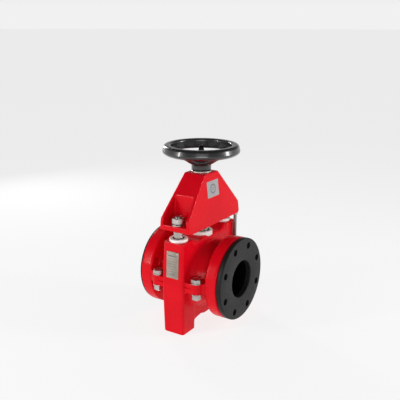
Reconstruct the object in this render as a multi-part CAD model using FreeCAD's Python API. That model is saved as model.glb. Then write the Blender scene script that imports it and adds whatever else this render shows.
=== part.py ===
import FreeCAD, Part
import math
import os

# Hand-operated rubber-sleeve pinch valve, DN 100.
# All lengths are in millimetres. Heights are set out from the bore axis and lifted by
# BASE_TO_BORE when a piece is saved, so that z = 0 is the underside of the feet.
# X runs along the pipe, Y along the two tie rods, Z along the screw spindle.
Vector = FreeCAD.Vector
AXIS_X = Vector(1, 0, 0)
AXIS_Y = Vector(0, 1, 0)
AXIS_Z = Vector(0, 0, 1)
ORIGIN = Vector(0, 0, 0)
CUT = 1.0            # how far a cutting tool runs past a face
FAR = 200.0          # beyond the outside of every casting
RUNNING_FIT = 0.05   # radial clearance of a shaft in its bush
CLEAR = 0.3          # gap between pieces that move past each other

# ---- driving dimensions -------------------------------------------------------------
BORE_R = 50.0
SLEEVE_WALL = 10.0
FACE_TO_FACE = 254.0
BASE_TO_BORE = 135.0

FLANGE_R = 110.0
BOLT_CIRCLE_R = 90.0
FLANGE_HOLE_R = 9.0
FLANGE_HOLES = 8
FLANGE_T = 33.0
FLANGE_EDGE_R = 3.5
RUBBER_T = 15.0             # moulded end flange at the outlet
INLET_LIP_T = 4.0           # the inlet has only a thin lip
INLET_LIP_SETBACK = 2.0
RUBBER_STEP_T = 3.0
RUBBER_STEP = 4.5
NECK_R = 75.0

SCREW_PITCH = 5.0
SCREW_TURNS = 20.1
STROKE = SCREW_PITCH * SCREW_TURNS / 2   # each bar closes half of the bore

ROD_Y = 107.0
ROD_R = 12.5
ROD_END_R = 10.0
SPINDLE_R = 12.0
STEM_R = 19.0
STEM_WALL = 5.0

SPLIT_GAP = 1.0
EAR_T = 14.0
EAR_BOLT_X = 60.0
EAR_BOLT_Y = 116.0
EAR_BOLT_R = 8.0
EAR_HOLE_R = 8.75
EAR_REACH = 15.0            # from the bolt to the rounded edge of the ear
EAR_ROOT_X = 20.0           # the ear starts inside the pillar

COLUMN_TOP = 115.0
COLUMN_ROUND = 6.0
COLUMN_END_ROUND = 2.5
COLUMN_TOP_HALF = 30.0      # half width along the pipe at the top
COLUMN_FOOT_HALF = 31.0
COLUMN_OUT = 138.0          # outer face at the split, from the middle of the valve
COLUMN_TOP_OUT = 132.0
COLUMN_FOOT_OUT = 134.5
COLUMN_IN = 76.0
COLUMN_END_IN = 78.0

SLAB_HALF = 33.0
SLAB_SHOULDER_HALF = 30.5   # half width where the crown rounding begins
WEB_Y = 78.0                # the arch runs between the webs beside the pillars
WEB_HEIGHT = 113.0
ARCH_DIP_Y = 65.0
ARCH_VALLEY_Y = 46.0

POCKET_TOP = 93.0
POCKET_STEP = 30.0          # the upper pocket widens below this height
POCKET_BOTTOM = -124.0
SLOT_HALF = 18.0
UPPER_POCKET_R = 20.0
LOWER_POCKET_R = 22.5
STEM_POCKET_R = 21.0        # the slot widens round the stem

BAR_HALF = 16.0
BAR_H = 29.5
BAR_BACK = BORE_R + SLEEVE_WALL + CLEAR + BAR_H   # height of the back of an open bar
UPPER_EYE_R = 17.5
LOWER_EYE_R = 20.0

YOKE_BOTTOM = 140.0
YOKE_KNEE = 173.0
YOKE_TOP = 276.0
YOKE_HALF_BOTTOM = 46.5
YOKE_HALF_TOP = 31.4
YOKE_LENGTH_BOTTOM = 126.0
YOKE_LENGTH_TOP = 33.0
YOKE_WALL = 8.5
YOKE_EAR_T = 17.0
YOKE_POCKET_Y = 78.0
YOKE_BACK_T = 12.0
YOKE_BLOCK_BOTTOM = 229.0
YOKE_EDGE_R = 3.0

NUT_M20 = (30.0, 17.0)
NUT_M16 = (24.0, 13.0)
HEAD_M16 = (24.0, 10.0)
WASHER_M20 = (18.5, 10.5, 3.0)
WASHER_M16 = (14.5, 8.6, 2.5)

WHEEL_R = 101.4
WHEEL_Z = 336.0
WHEEL_RIM_H = 25.0
WHEEL_RIM_W = 21.5
WHEEL_SPOKES = 5
WHEEL_SPOKE_ANGLE = 122.8
HUB_BOTTOM = 282.0
HUB_TOP = 312.0
HUB_R = 26.0
HUB_SHAFT_R = 10.0


# ---- small solids -------------------------------------------------------------------
def rod(radius, low, high, x=0.0, y=0.0):
    """An upright cylinder from height low to height high."""
    return Part.makeCylinder(radius, high - low, Vector(x, y, low), AXIS_Z)


def rod_x(radius, low, high, y=0.0, z=0.0):
    """A cylinder along the pipe, from x = low to x = high."""
    return Part.makeCylinder(radius, high - low, Vector(low, y, z), AXIS_X)


def ring(outer, inner, low, high, x=0.0, y=0.0):
    return rod(outer, low, high, x, y).cut(rod(inner, low - CUT, high + CUT, x, y))


def block(x0, x1, y0, y1, z0, z1):
    return Part.makeBox(x1 - x0, y1 - y0, z1 - z0, Vector(x0, y0, z0))


def hexagon(across_flats, low, high, x=0.0, y=0.0, turn=0.0):
    """A hexagonal prism with chamfered corners on both faces."""
    corner_r = across_flats / math.sqrt(3)
    points = []
    for step in range(7):
        angle = math.radians(60 * step + turn)
        points.append(Vector(x + corner_r * math.cos(angle), y + corner_r * math.sin(angle), low))
    prism = Part.Face(Part.makePolygon(points)).extrude(Vector(0, 0, high - low))
    chamfer = 0.13 * corner_r
    rounded = rod(corner_r, low, high, x, y)
    return prism.common(rounded.makeChamfer(chamfer, end_circles(rounded)))


def end_circles(cylinder):
    """The circular edges of a plain cylinder."""
    return [e for e in cylinder.Edges if isinstance(e.Curve, Part.Circle)]


def disc_x(radius, low, high, rounding):
    """A disc across the pipe with rounded rims."""
    disc = rod_x(radius, low, high)
    return disc.makeFillet(rounding, end_circles(disc))


def fuse(pieces):
    whole = pieces[0]
    if len(pieces) > 1:
        whole = whole.multiFuse(pieces[1:])
    return whole.removeSplitter()


def cut_all(whole, tools):
    for tool in tools:
        whole = whole.cut(tool)
    return whole


def profile(edges):
    """A face bounded by an ordered list of edges."""
    return Part.Face(Part.Wire(edges))


def line(a, b):
    return Part.LineSegment(a, b).toShape()


def arc(a, middle, b):
    return Part.Arc(a, middle, b).toShape()


def polygon(points):
    return Part.Face(Part.makePolygon(points + [points[0]]))


def rounded_rectangle(x0, x1, y0, y1, z, radius):
    """A closed wire at height z with rounded corners."""
    corners = [(x1, y1, 0), (x0, y1, 90), (x0, y0, 180), (x1, y0, 270)]
    edges = []
    joints = []
    for x, y, start in corners:
        inward_x = x - radius if x == x1 else x + radius
        inward_y = y - radius if y == y1 else y + radius
        ends = []
        for angle in (start, start + 45, start + 90):
            a = math.radians(angle)
            ends.append(Vector(inward_x + radius * math.cos(a), inward_y + radius * math.sin(a), z))
        joints.append(ends)
    for n, ends in enumerate(joints):
        edges.append(arc(*ends))
        edges.append(line(ends[2], joints[(n + 1) % len(joints)][0]))
    return Part.Wire(edges)


def ellipse_x(x, half_y, half_z):
    """An ellipse across the pipe, wider in Y than in Z."""
    return Part.Wire(Part.Ellipse(Vector(x, half_y, 0), Vector(x, 0, half_z), Vector(x, 0, 0)).toShape())


def mirrored(shape, normal):
    return shape.mirror(ORIGIN, normal)


def both_rods(make):
    """The same piece at the front rod and at the rear rod."""
    return Part.makeCompound([make(-ROD_Y), make(ROD_Y)])


def chamfered_rod(radius, low, high, x=0.0, y=0.0, chamfer=1.0):
    solid = rod(radius, low, high, x, y)
    return solid.makeChamfer(chamfer, end_circles(solid))


# ---- body castings ------------------------------------------------------------------
HALF_LENGTH = FACE_TO_FACE / 2
FLANGE_FRONT = {1: HALF_LENGTH - RUBBER_T, -1: HALF_LENGTH - INLET_LIP_T}   # outlet, inlet
FLANGE_BACK = {side: front - FLANGE_T for side, front in FLANGE_FRONT.items()}
EAR_END_Y = 106.0
EAR_INTO_FLANGE = 3.0


def column(side):
    """The tapered pillar round the front tie rod; side is +1 above the split and -1 below."""
    if side > 0:
        far, half, outer = COLUMN_TOP, COLUMN_TOP_HALF, COLUMN_TOP_OUT
    else:
        far, half, outer = -BASE_TO_BORE, COLUMN_FOOT_HALF, COLUMN_FOOT_OUT
    middle = rounded_rectangle(-SLAB_HALF, SLAB_HALF, -COLUMN_OUT, -COLUMN_IN, 0.0, COLUMN_ROUND)
    end = rounded_rectangle(-half, half, -outer, -COLUMN_END_IN, far, COLUMN_ROUND)
    pillar = Part.makeLoft([middle, end], True, True)
    end_edges = [e for e in pillar.Edges if abs(e.BoundBox.ZMin - far) < 0.01 and e.BoundBox.ZLength < 0.01]
    return pillar.makeFillet(COLUMN_END_ROUND, end_edges)


def slab(valley, crest, shoulder, crown_half):
    """The housing between the pillars, arched along Y and rounded along X, drawn above the split."""
    reach = ROD_Y
    top = max(crest, WEB_HEIGHT)
    dip = valley + 2.5
    edges = [
        line(Vector(0, reach, 0), Vector(0, reach, WEB_HEIGHT)),
        line(Vector(0, reach, WEB_HEIGHT), Vector(0, WEB_Y, WEB_HEIGHT)),
        arc(Vector(0, WEB_Y, WEB_HEIGHT), Vector(0, ARCH_DIP_Y, dip), Vector(0, ARCH_VALLEY_Y, valley)),
        arc(Vector(0, ARCH_VALLEY_Y, valley), Vector(0, 0, crest), Vector(0, -ARCH_VALLEY_Y, valley)),
        arc(Vector(0, -ARCH_VALLEY_Y, valley), Vector(0, -ARCH_DIP_Y, dip), Vector(0, -WEB_Y, WEB_HEIGHT)),
        line(Vector(0, -WEB_Y, WEB_HEIGHT), Vector(0, -reach, WEB_HEIGHT)),
        line(Vector(0, -reach, WEB_HEIGHT), Vector(0, -reach, 0)),
        line(Vector(0, -reach, 0), Vector(0, reach, 0)),
    ]
    arched = profile(edges).extrude(Vector(2 * SLAB_HALF, 0, 0))
    arched.translate(Vector(-SLAB_HALF, 0, 0))
    side_x = SLAB_SHOULDER_HALF
    bend_x = crown_half + 0.7 * (side_x - crown_half)
    bend_z = shoulder + 0.65 * (top - shoulder)
    crown = [
        line(Vector(-SLAB_HALF, -reach, 0), Vector(SLAB_HALF, -reach, 0)),
        line(Vector(SLAB_HALF, -reach, 0), Vector(side_x, -reach, shoulder)),
        arc(Vector(side_x, -reach, shoulder), Vector(bend_x, -reach, bend_z), Vector(crown_half, -reach, top)),
        line(Vector(crown_half, -reach, top), Vector(-crown_half, -reach, top)),
        arc(Vector(-crown_half, -reach, top), Vector(-bend_x, -reach, bend_z), Vector(-side_x, -reach, shoulder)),
        line(Vector(-side_x, -reach, shoulder), Vector(-SLAB_HALF, -reach, 0)),
    ]
    return arched.common(profile(crown).extrude(Vector(0, 2 * reach, 0)))


def bell(x_side):
    """The oval shell that carries the sleeve from the housing to the flange."""
    flare = [(-5.0, 134.0, 90.0), (3.0, 112.0, 85.0), (13.0, 99.5, 81.0), (29.0, 88.0, 78.0)]
    sections = [ellipse_x(SLAB_HALF + out, half_y, half_z) for out, half_y, half_z in flare]
    sections.append(ellipse_x(FLANGE_BACK[x_side] + CUT, NECK_R + CUT, NECK_R))
    shell = Part.makeLoft(sections, True, False)
    return shell if x_side > 0 else mirrored(shell, AXIS_X)


def ear(x_side):
    """The clamping ear beside the front pillar, rounded around its bolt."""
    outer = -(EAR_BOLT_Y + EAR_REACH)
    middle = EAR_REACH * math.sqrt(0.5)
    end_x = FLANGE_BACK[x_side] + EAR_INTO_FLANGE
    corners = [
        Vector(EAR_ROOT_X, -WEB_Y, 0),
        Vector(EAR_ROOT_X, outer - 3, 0),
        Vector(EAR_BOLT_X, outer, 0),
        Vector(EAR_BOLT_X + EAR_REACH, -EAR_BOLT_Y, 0),
        Vector(end_x, -EAR_END_Y, 0),
        Vector(end_x, -BORE_R, 0),
    ]
    tip = Vector(EAR_BOLT_X + middle, -EAR_BOLT_Y - middle, 0)
    edges = [
        line(corners[0], corners[1]),
        line(corners[1], corners[2]),
        arc(corners[2], tip, corners[3]),
        line(corners[3], corners[4]),
        line(corners[4], corners[5]),
        line(corners[5], corners[0]),
    ]
    plate = profile(edges).extrude(Vector(0, 0, EAR_T))
    rims = [e for e in plate.Edges if e.BoundBox.ZMin > EAR_T - 0.01 and e.BoundBox.YMax < -100]
    plate = plate.makeFillet(2.0, rims)
    return plate if x_side > 0 else mirrored(plate, AXIS_X)


def sleeve_cavity():
    """The room round the sleeve: round at the flanges, wide in the middle where it flattens."""
    outside = BORE_R + SLEEVE_WALL + 0.5
    half = [
        ellipse_x(0, 94, outside + 1),
        ellipse_x(24, 92, outside + 1),
        ellipse_x(52, 76, outside + 0.5),
        ellipse_x(FLANGE_BACK[1] + 4, outside + 0.5, outside),
        ellipse_x(HALF_LENGTH, outside + 0.5, outside),
    ]
    right = Part.makeLoft(half, True, False)
    straight = rod_x(outside, -HALF_LENGTH - CUT, HALF_LENGTH + CUT)
    return [right, mirrored(right, AXIS_X), straight]


def flange_holes(low, high):
    holes = []
    for n in range(FLANGE_HOLES):
        angle = math.radians((n + 0.5) * 360 / FLANGE_HOLES)
        holes.append(rod_x(
            FLANGE_HOLE_R, low, high, BOLT_CIRCLE_R * math.cos(angle), BOLT_CIRCLE_R * math.sin(angle)))
    return holes


def body_half(side):
    """One casting: the upper half for side +1, the lower half for side -1."""
    outlet = disc_x(FLANGE_R, FLANGE_BACK[1], FLANGE_FRONT[1], FLANGE_EDGE_R)
    inlet = disc_x(FLANGE_R, -FLANGE_FRONT[-1], -FLANGE_BACK[-1], FLANGE_EDGE_R)
    pieces = [outlet, inlet, bell(1), bell(-1)]
    pillar = column(side)
    pieces += [pillar, mirrored(pillar, AXIS_Y)]
    upright = [slab(104.5, 109.5, 94.0, 13.0) if side > 0 else slab(106.0, 116.5, 106.0, 18.0)]
    for x_side in (1, -1):
        plate = ear(x_side)
        upright += [plate, mirrored(plate, AXIS_Y)]
    if side < 0:
        upright = [mirrored(piece, AXIS_Z) for piece in upright]
    whole = fuse(pieces + upright)
    half_gap = SPLIT_GAP / 2
    if side > 0:
        keep = block(-FAR, FAR, -FAR, FAR, half_gap, FAR)
    else:
        keep = block(-FAR, FAR, -FAR, FAR, -FAR, -half_gap)
    whole = whole.common(keep)
    tools = sleeve_cavity()
    tools += flange_holes(FLANGE_BACK[1] - CUT, FLANGE_FRONT[1] + CUT)
    tools += flange_holes(-FLANGE_FRONT[-1] - CUT, -FLANGE_BACK[-1] + CUT)
    for x in (-EAR_BOLT_X, EAR_BOLT_X):
        for y in (-EAR_BOLT_Y, EAR_BOLT_Y):
            tools.append(rod(EAR_HOLE_R, -2 * EAR_T, 2 * EAR_T, x, y))
    for y in (-ROD_Y, ROD_Y):
        if side > 0:
            tools.append(rod(UPPER_POCKET_R, POCKET_STEP, POCKET_TOP, 0, y))
            tools.append(rod(LOWER_POCKET_R, -CUT, POCKET_STEP, 0, y))
            tools.append(rod(BUSH_BODY_R, POCKET_TOP - CUT, COLUMN_TOP + CUT, 0, y))
        else:
            tools.append(rod(LOWER_POCKET_R, POCKET_BOTTOM, CUT, 0, y))
            tools.append(rod(PLUG_R, -BASE_TO_BORE - CUT, POCKET_BOTTOM + CUT, 0, y))
    if side > 0:
        tools.append(block(-SLOT_HALF, SLOT_HALF, -ROD_Y, ROD_Y, -CUT, POCKET_TOP))
        tools.append(rod(STEM_POCKET_R, -CUT, POCKET_TOP))
        tools.append(rod(STEM_BUSH_R, POCKET_TOP - CUT, FAR))
        tools.append(rod(STEM_BUSH_FLANGE_R, STEM_SEAT, FAR))
    else:
        tools.append(block(-SLOT_HALF, SLOT_HALF, -ROD_Y, ROD_Y, -POCKET_TOP, CUT))
    return cut_all(whole, tools).removeSplitter()


def body_gasket(upper):
    """A flat gasket on the split, set back a little from the outer edge of the castings."""
    joint = upper.common(block(-FAR, FAR, -FAR, FAR, SPLIT_GAP / 2, SPLIT_GAP))
    faces = [f for f in joint.Faces if abs(f.CenterOfMass.z - SPLIT_GAP / 2) < 1e-6]
    sheets = [f.extrude(Vector(0, 0, -SPLIT_GAP)) for f in faces]
    return Part.makeCompound(sheets)


# ---- sleeve -------------------------------------------------------------------------
def sleeve_flange(side):
    """The moulded rubber end flange: thick with a stepped back at the outlet, a thin lip at the inlet."""
    seat = FLANGE_FRONT[side]
    if side > 0:
        whole = fuse([
            disc_x(FLANGE_R, seat + RUBBER_STEP_T, HALF_LENGTH, 3.0),
            rod_x(FLANGE_R - RUBBER_STEP, seat, seat + RUBBER_STEP_T + 4),
        ])
    else:
        whole = disc_x(FLANGE_R - INLET_LIP_SETBACK, seat, HALF_LENGTH, 1.5)
    tools = [rod_x(BORE_R, seat - CUT, HALF_LENGTH + CUT)]
    tools += flange_holes(seat - CUT, HALF_LENGTH + CUT)
    whole = cut_all(whole, tools)
    return whole if side > 0 else mirrored(whole, AXIS_X)


def sleeve_tube():
    tube = rod_x(BORE_R + SLEEVE_WALL, -FLANGE_FRONT[-1], FLANGE_FRONT[1])
    return tube.cut(rod_x(BORE_R, -HALF_LENGTH, HALF_LENGTH))


# ---- guides and seals in the body ---------------------------------------------------
BUSH_BODY_R = 17.0
BUSH_FLANGE_R = 24.0
BUSH_TOP = 122.5
STEM_BUSH_R = 24.0
STEM_BUSH_FLANGE_R = 30.0
STEM_SEAT = 103.5
STEM_BUSH_TOP = 116.0
WIPER_DEPTH = 3.0
WIPER_W = 2.5
WIPER_PROUD = 1.0
PLUG_R = 19.0
PLUG_SOCKET = (17.0, 6.0)   # across flats, depth


def rod_bush(y):
    """A flanged guide bush with a recess for the wiper at its top."""
    bush = fuse([
        rod(BUSH_BODY_R, POCKET_TOP, COLUMN_TOP + CUT, 0, y),
        chamfered_rod(BUSH_FLANGE_R, COLUMN_TOP, BUSH_TOP, 0, y, 1.2),
    ])
    bore = rod(ROD_R + RUNNING_FIT, POCKET_TOP - CUT, BUSH_TOP + CUT, 0, y)
    seat = rod(ROD_R + WIPER_W, BUSH_TOP - WIPER_DEPTH, BUSH_TOP + CUT, 0, y)
    return cut_all(bush, [bore, seat])


def rod_wiper(y):
    return ring(ROD_R + WIPER_W, ROD_R + CLEAR, BUSH_TOP - WIPER_DEPTH, BUSH_TOP + WIPER_PROUD, 0, y)


def stem_bush():
    bush = fuse([
        rod(STEM_BUSH_R, POCKET_TOP, STEM_SEAT + CUT),
        chamfered_rod(STEM_BUSH_FLANGE_R, STEM_SEAT, STEM_BUSH_TOP, chamfer=1.2),
    ])
    bore = rod(STEM_R + RUNNING_FIT, POCKET_TOP - CUT, STEM_BUSH_TOP + CUT)
    seat = rod(STEM_R + WIPER_W, STEM_BUSH_TOP - WIPER_DEPTH, STEM_BUSH_TOP + CUT)
    return cut_all(bush, [bore, seat])


def stem_wiper():
    low = STEM_BUSH_TOP - WIPER_DEPTH
    return ring(STEM_R + WIPER_W, STEM_R + CLEAR, low, STEM_BUSH_TOP + WIPER_PROUD)


def bottom_plug(y):
    """A socket plug screwed flush into the foot below a tie rod."""
    low = -BASE_TO_BORE + 1.0
    plug = chamfered_rod(PLUG_R, low, POCKET_BOTTOM, 0, y)
    return plug.cut(hexagon(PLUG_SOCKET[0], low - CUT, low + PLUG_SOCKET[1], 0, y))


# ---- clamping ears ------------------------------------------------------------------
def at_ears(make):
    pieces = []
    for x in (-EAR_BOLT_X, EAR_BOLT_X):
        for y in (-EAR_BOLT_Y, EAR_BOLT_Y):
            pieces.append(make(x, y))
    return pieces


def ear_bolt(x, y):
    seat = EAR_T + WASHER_M16[2]
    shank = rod(EAR_BOLT_R, -seat - NUT_M16[1] - 3, seat + CUT, x, y)
    return fuse([hexagon(HEAD_M16[0], seat, seat + HEAD_M16[1], x, y, 15), shank])


def ear_nut(x, y):
    seat = -EAR_T - WASHER_M16[2]
    nut = hexagon(NUT_M16[0], seat - NUT_M16[1], seat, x, y, 40)
    return nut.cut(rod(EAR_BOLT_R, seat - NUT_M16[1] - CUT, seat + CUT, x, y))


def ear_washers(x, y):
    outer, inner, thick = WASHER_M16
    return [
        ring(outer, inner, EAR_T, EAR_T + thick, x, y),
        ring(outer, inner, -EAR_T - thick, -EAR_T, x, y),
    ]


# ---- yoke frame ---------------------------------------------------------------------
YOKE_SLOPE = (YOKE_HALF_BOTTOM - YOKE_HALF_TOP) / (YOKE_TOP - YOKE_BOTTOM)
ROOF_SLOPE = (YOKE_TOP - YOKE_KNEE) / (YOKE_LENGTH_BOTTOM - YOKE_LENGTH_TOP)


def yoke_half_width(z):
    """Half the yoke's width in X at height z."""
    return YOKE_HALF_BOTTOM - YOKE_SLOPE * (z - YOKE_BOTTOM)


def roof_z(y):
    """The height of the sloping edge of the side plates at distance y from the middle."""
    return YOKE_TOP - ROOF_SLOPE * (y - YOKE_LENGTH_TOP)


def tapered_prism(inset, low, high, y0, y1):
    """A prism along Y whose sides lean like the yoke's, set in by inset."""
    wide = yoke_half_width(low) - inset
    narrow = yoke_half_width(high) - inset
    face = polygon([
        Vector(-wide, y0, low),
        Vector(wide, y0, low),
        Vector(narrow, y0, high),
        Vector(-narrow, y0, high),
    ])
    return face.extrude(Vector(0, y1 - y0, 0))


def corner_points(before, corner, after, radius):
    """Where an arc of the given radius meets the two lines at a corner, and its middle."""
    to_before = (before - corner).normalize()
    to_after = (after - corner).normalize()
    half_angle = to_before.getAngle(to_after) / 2
    run = radius / math.tan(half_angle)
    bisector = (to_before + to_after).normalize()
    centre = corner + bisector * (radius / math.sin(half_angle))
    return corner + to_before * run, centre - bisector * radius, corner + to_after * run


def rounded_outline(corners):
    """A face from corners given as (point, radius)."""
    arcs = []
    count = len(corners)
    for n, (point, radius) in enumerate(corners):
        before = corners[n - 1][0]
        after = corners[(n + 1) % count][0]
        arcs.append(corner_points(before, point, after, radius))
    edges = []
    for n, ends in enumerate(arcs):
        edges.append(arc(*ends))
        edges.append(line(ends[2], arcs[(n + 1) % count][0]))
    return profile(edges)


def yoke():
    """The trapezoidal frame: two side plates, an ear at each end and the bearing block on top."""
    long_half, short_half = YOKE_LENGTH_BOTTOM, YOKE_LENGTH_TOP
    outline = rounded_outline([
        (Vector(0, -long_half, YOKE_BOTTOM), 9.0),
        (Vector(0, -long_half, YOKE_KNEE), 16.0),
        (Vector(0, -short_half, YOKE_TOP), 7.0),
        (Vector(0, short_half, YOKE_TOP), 7.0),
        (Vector(0, long_half, YOKE_KNEE), 16.0),
        (Vector(0, long_half, YOKE_BOTTOM), 9.0),
    ])
    plates = outline.extrude(Vector(120, 0, 0))
    plates.translate(Vector(-60, 0, 0))
    whole = plates.common(tapered_prism(0, YOKE_BOTTOM, YOKE_TOP, -150, 150))
    side_edges = [e for e in whole.Edges if abs(e.BoundBox.Center.x) > 25 and e.BoundBox.XLength < 16]
    whole = whole.makeFillet(YOKE_EDGE_R, side_edges)
    floor = YOKE_BOTTOM + YOKE_EAR_T
    pocket = tapered_prism(YOKE_WALL, floor, YOKE_TOP, -150, -YOKE_POCKET_Y)
    inner = YOKE_POCKET_Y - YOKE_BACK_T
    drop = YOKE_BACK_T * math.sqrt(1 + ROOF_SLOPE ** 2)
    flat = YOKE_LENGTH_TOP + (YOKE_TOP - drop - YOKE_BLOCK_BOTTOM) / ROOF_SLOPE
    hollow_outline = polygon([
        Vector(-60, -inner, YOKE_BOTTOM - CUT),
        Vector(-60, -inner, roof_z(inner) - drop),
        Vector(-60, -flat, YOKE_BLOCK_BOTTOM),
        Vector(-60, flat, YOKE_BLOCK_BOTTOM),
        Vector(-60, inner, roof_z(inner) - drop),
        Vector(-60, inner, YOKE_BOTTOM - CUT),
    ])
    hollow = hollow_outline.extrude(Vector(120, 0, 0)).common(
        tapered_prism(YOKE_WALL, YOKE_BOTTOM - CUT, YOKE_BLOCK_BOTTOM + CUT, -150, 150))
    hollow_edges = [e for e in hollow.Edges if e.BoundBox.ZMin > YOKE_BOTTOM]
    hollow = hollow.makeFillet(4.0, hollow_edges)
    tools = [pocket, mirrored(pocket, AXIS_Y), hollow]
    for y in (-ROD_Y, ROD_Y):
        tools.append(rod(ROD_END_R + 0.3, YOKE_BOTTOM - CUT, floor + CUT, 0, y))
    tools.append(rod(SPINDLE_BUSH_R, YOKE_BLOCK_BOTTOM - CUT, BEARING_LOW + CUT))
    tools.append(rod(BEARING_R, BEARING_LOW, YOKE_TOP + CUT))
    indicator_seat = YOKE_BOTTOM + INDICATOR_DEPTH
    tools.append(rod(INDICATOR_R, YOKE_BOTTOM - CUT, indicator_seat, INDICATOR_X, INDICATOR_Y))
    return cut_all(whole, tools).removeSplitter()


# ---- spindle bearings ---------------------------------------------------------------
SPINDLE_BUSH_R = 17.0
BEARING_R = 26.0
BEARING_LOW = 239.0
COLLAR_LOW = 246.5
COLLAR_H = 8.0
COLLAR_R = 21.0
FACE_GAP = 0.1
BEARING_H = COLLAR_LOW - FACE_GAP - BEARING_LOW
COVER_LOW = COLLAR_LOW + COLLAR_H + FACE_GAP + BEARING_H
COVER_R = 27.5
COVER_T = 5.0
COVER_PIN_HOLE_R = 2.0      # two holes for a pin spanner
COVER_PIN_HOLE_AT = 20.0
JOURNAL_R = 11.0
INDICATOR_R = 4.5
INDICATOR_X = 38.0
INDICATOR_Y = 117.0
INDICATOR_DEPTH = 12.0


def spindle_bush():
    return ring(SPINDLE_BUSH_R, SPINDLE_R + RUNNING_FIT, YOKE_BLOCK_BOTTOM, BEARING_LOW)


def thrust_bearing(low):
    """Two washers with a row of balls between them, in one group."""
    washer = 2.2
    ball_r = (BEARING_H - 2 * washer) / 2
    middle = (BEARING_R + SPINDLE_R) / 2 + 0.3
    pieces = [
        ring(BEARING_R - 0.1, SPINDLE_R + 0.5, low, low + washer),
        ring(BEARING_R - 0.1, SPINDLE_R + 0.5, low + BEARING_H - washer, low + BEARING_H),
    ]
    cage_low = low + washer + 0.5
    cage_high = low + BEARING_H - washer - 0.5
    cage = ring(BEARING_R - 2, SPINDLE_R + 2, cage_low, cage_high)
    balls = []
    ball_count = 18
    for n in range(ball_count):
        angle = 2 * math.pi * n / ball_count
        centre = Vector(middle * math.cos(angle), middle * math.sin(angle), low + BEARING_H / 2)
        cage = cage.cut(Part.makeCylinder(ball_r + 0.2, 20, centre - Vector(0, 0, 10), AXIS_Z))
        balls.append(Part.makeSphere(ball_r, centre))
    return Part.makeCompound(pieces + [cage] + balls)


def bearing_cover():
    """The turned steel cover screwed in over the bearings."""
    top = YOKE_TOP + COVER_T
    cover = fuse([
        rod(BEARING_R - 0.1, COVER_LOW, YOKE_TOP + CUT),
        chamfered_rod(COVER_R, YOKE_TOP, top),
    ])
    tools = [rod(JOURNAL_R + RUNNING_FIT, COVER_LOW - CUT, top + CUT)]
    for x in (-COVER_PIN_HOLE_AT, COVER_PIN_HOLE_AT):
        tools.append(rod(COVER_PIN_HOLE_R, top - 4, top + CUT, x))
    return cut_all(cover, tools)


# ---- tie rods and lower bar ---------------------------------------------------------
LOWER_SHOULDER = -(BAR_BACK - BAR_H) - 2.0
ROD_TOP = 181.0
ROD_FOOT = -116.0


def tie_rod(y):
    """A rod with a shoulder under the yoke ear and another on the lower bar."""
    upper = chamfered_rod(ROD_END_R, YOKE_BOTTOM - 5, ROD_TOP, 0, y, 1.5)
    lower = chamfered_rod(ROD_END_R, ROD_FOOT, LOWER_SHOULDER + 5, 0, y, 1.5)
    return fuse([rod(ROD_R, LOWER_SHOULDER, YOKE_BOTTOM, 0, y), upper, lower])


def rod_nut(low, y, turn):
    nut = hexagon(NUT_M20[0], low, low + NUT_M20[1], 0, y, turn)
    return nut.cut(rod(ROD_END_R, low - CUT, low + NUT_M20[1] + CUT, 0, y))


def rod_washer(low, y):
    outer, inner, thick = WASHER_M20
    return ring(outer, inner, low, low + thick, 0, y)


def pinch_bar(side, eye_r, hole_r):
    """A bar with a round nose towards the sleeve and an eye for each tie rod."""
    nose = BAR_BACK - BAR_H + BAR_HALF
    back = BAR_BACK
    edges = [
        line(Vector(BAR_HALF, 0, nose), Vector(BAR_HALF, 0, back)),
        line(Vector(BAR_HALF, 0, back), Vector(-BAR_HALF, 0, back)),
        line(Vector(-BAR_HALF, 0, back), Vector(-BAR_HALF, 0, nose)),
        arc(Vector(-BAR_HALF, 0, nose), Vector(0, 0, nose - BAR_HALF), Vector(BAR_HALF, 0, nose)),
    ]
    beam = profile(edges).extrude(Vector(0, 2 * ROD_Y, 0))
    beam.translate(Vector(0, -ROD_Y, 0))
    eye_low = -LOWER_SHOULDER
    eyes = [rod(eye_r, eye_low, back, 0, y) for y in (-ROD_Y, ROD_Y)]
    below = [rod(eye_r, 0, eye_low, 0, y) for y in (-ROD_Y, ROD_Y)]
    bar = fuse([cut_all(beam, below)] + eyes)
    if side < 0:
        bar = mirrored(bar, AXIS_Z)
    holes = [rod(hole_r, -150, 150, 0, y) for y in (-ROD_Y, ROD_Y)]
    return cut_all(bar, holes)


# ---- stem ---------------------------------------------------------------------------
STEM_FOOT = BAR_BACK - 6.0
STEM_TOP = 217.0
NUT_LOW = 195.0
NUT_FLANGE_R = 23.0
NUT_TOP = 225.0


def upper_pinch_bar():
    bar = pinch_bar(1, UPPER_EYE_R, ROD_R + CLEAR)
    return bar.cut(rod(STEM_R, STEM_FOOT, BAR_BACK + CUT))


def stem_tube():
    """The hollow pusher that joins the nut to the upper bar."""
    tube = rod(STEM_R, STEM_FOOT, STEM_TOP)
    inside = rod(STEM_R - STEM_WALL, STEM_FOOT - CUT, STEM_TOP + CUT)
    seat = rod(STEM_R - 2.5, NUT_LOW, STEM_TOP + CUT)
    return cut_all(tube, [inside, seat])


def stem_nut():
    nut = fuse([
        rod(STEM_R - 2.5, NUT_LOW, STEM_TOP + CUT),
        chamfered_rod(NUT_FLANGE_R, STEM_TOP, NUT_TOP),
    ])
    return nut.cut(rod(SPINDLE_R + RUNNING_FIT, NUT_LOW - CUT, NUT_TOP + CUT))


# ---- handwheel ----------------------------------------------------------------------
KEY_W = 6.0
SPINDLE_SPARE = 1.5    # left below the nut when the valve is shut
SPINDLE_FOOT = NUT_LOW - 2 * STROKE - SPINDLE_SPARE
SPINDLE_END_R = 8.0
HUB_NUT = (24.0, 10.0)


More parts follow.
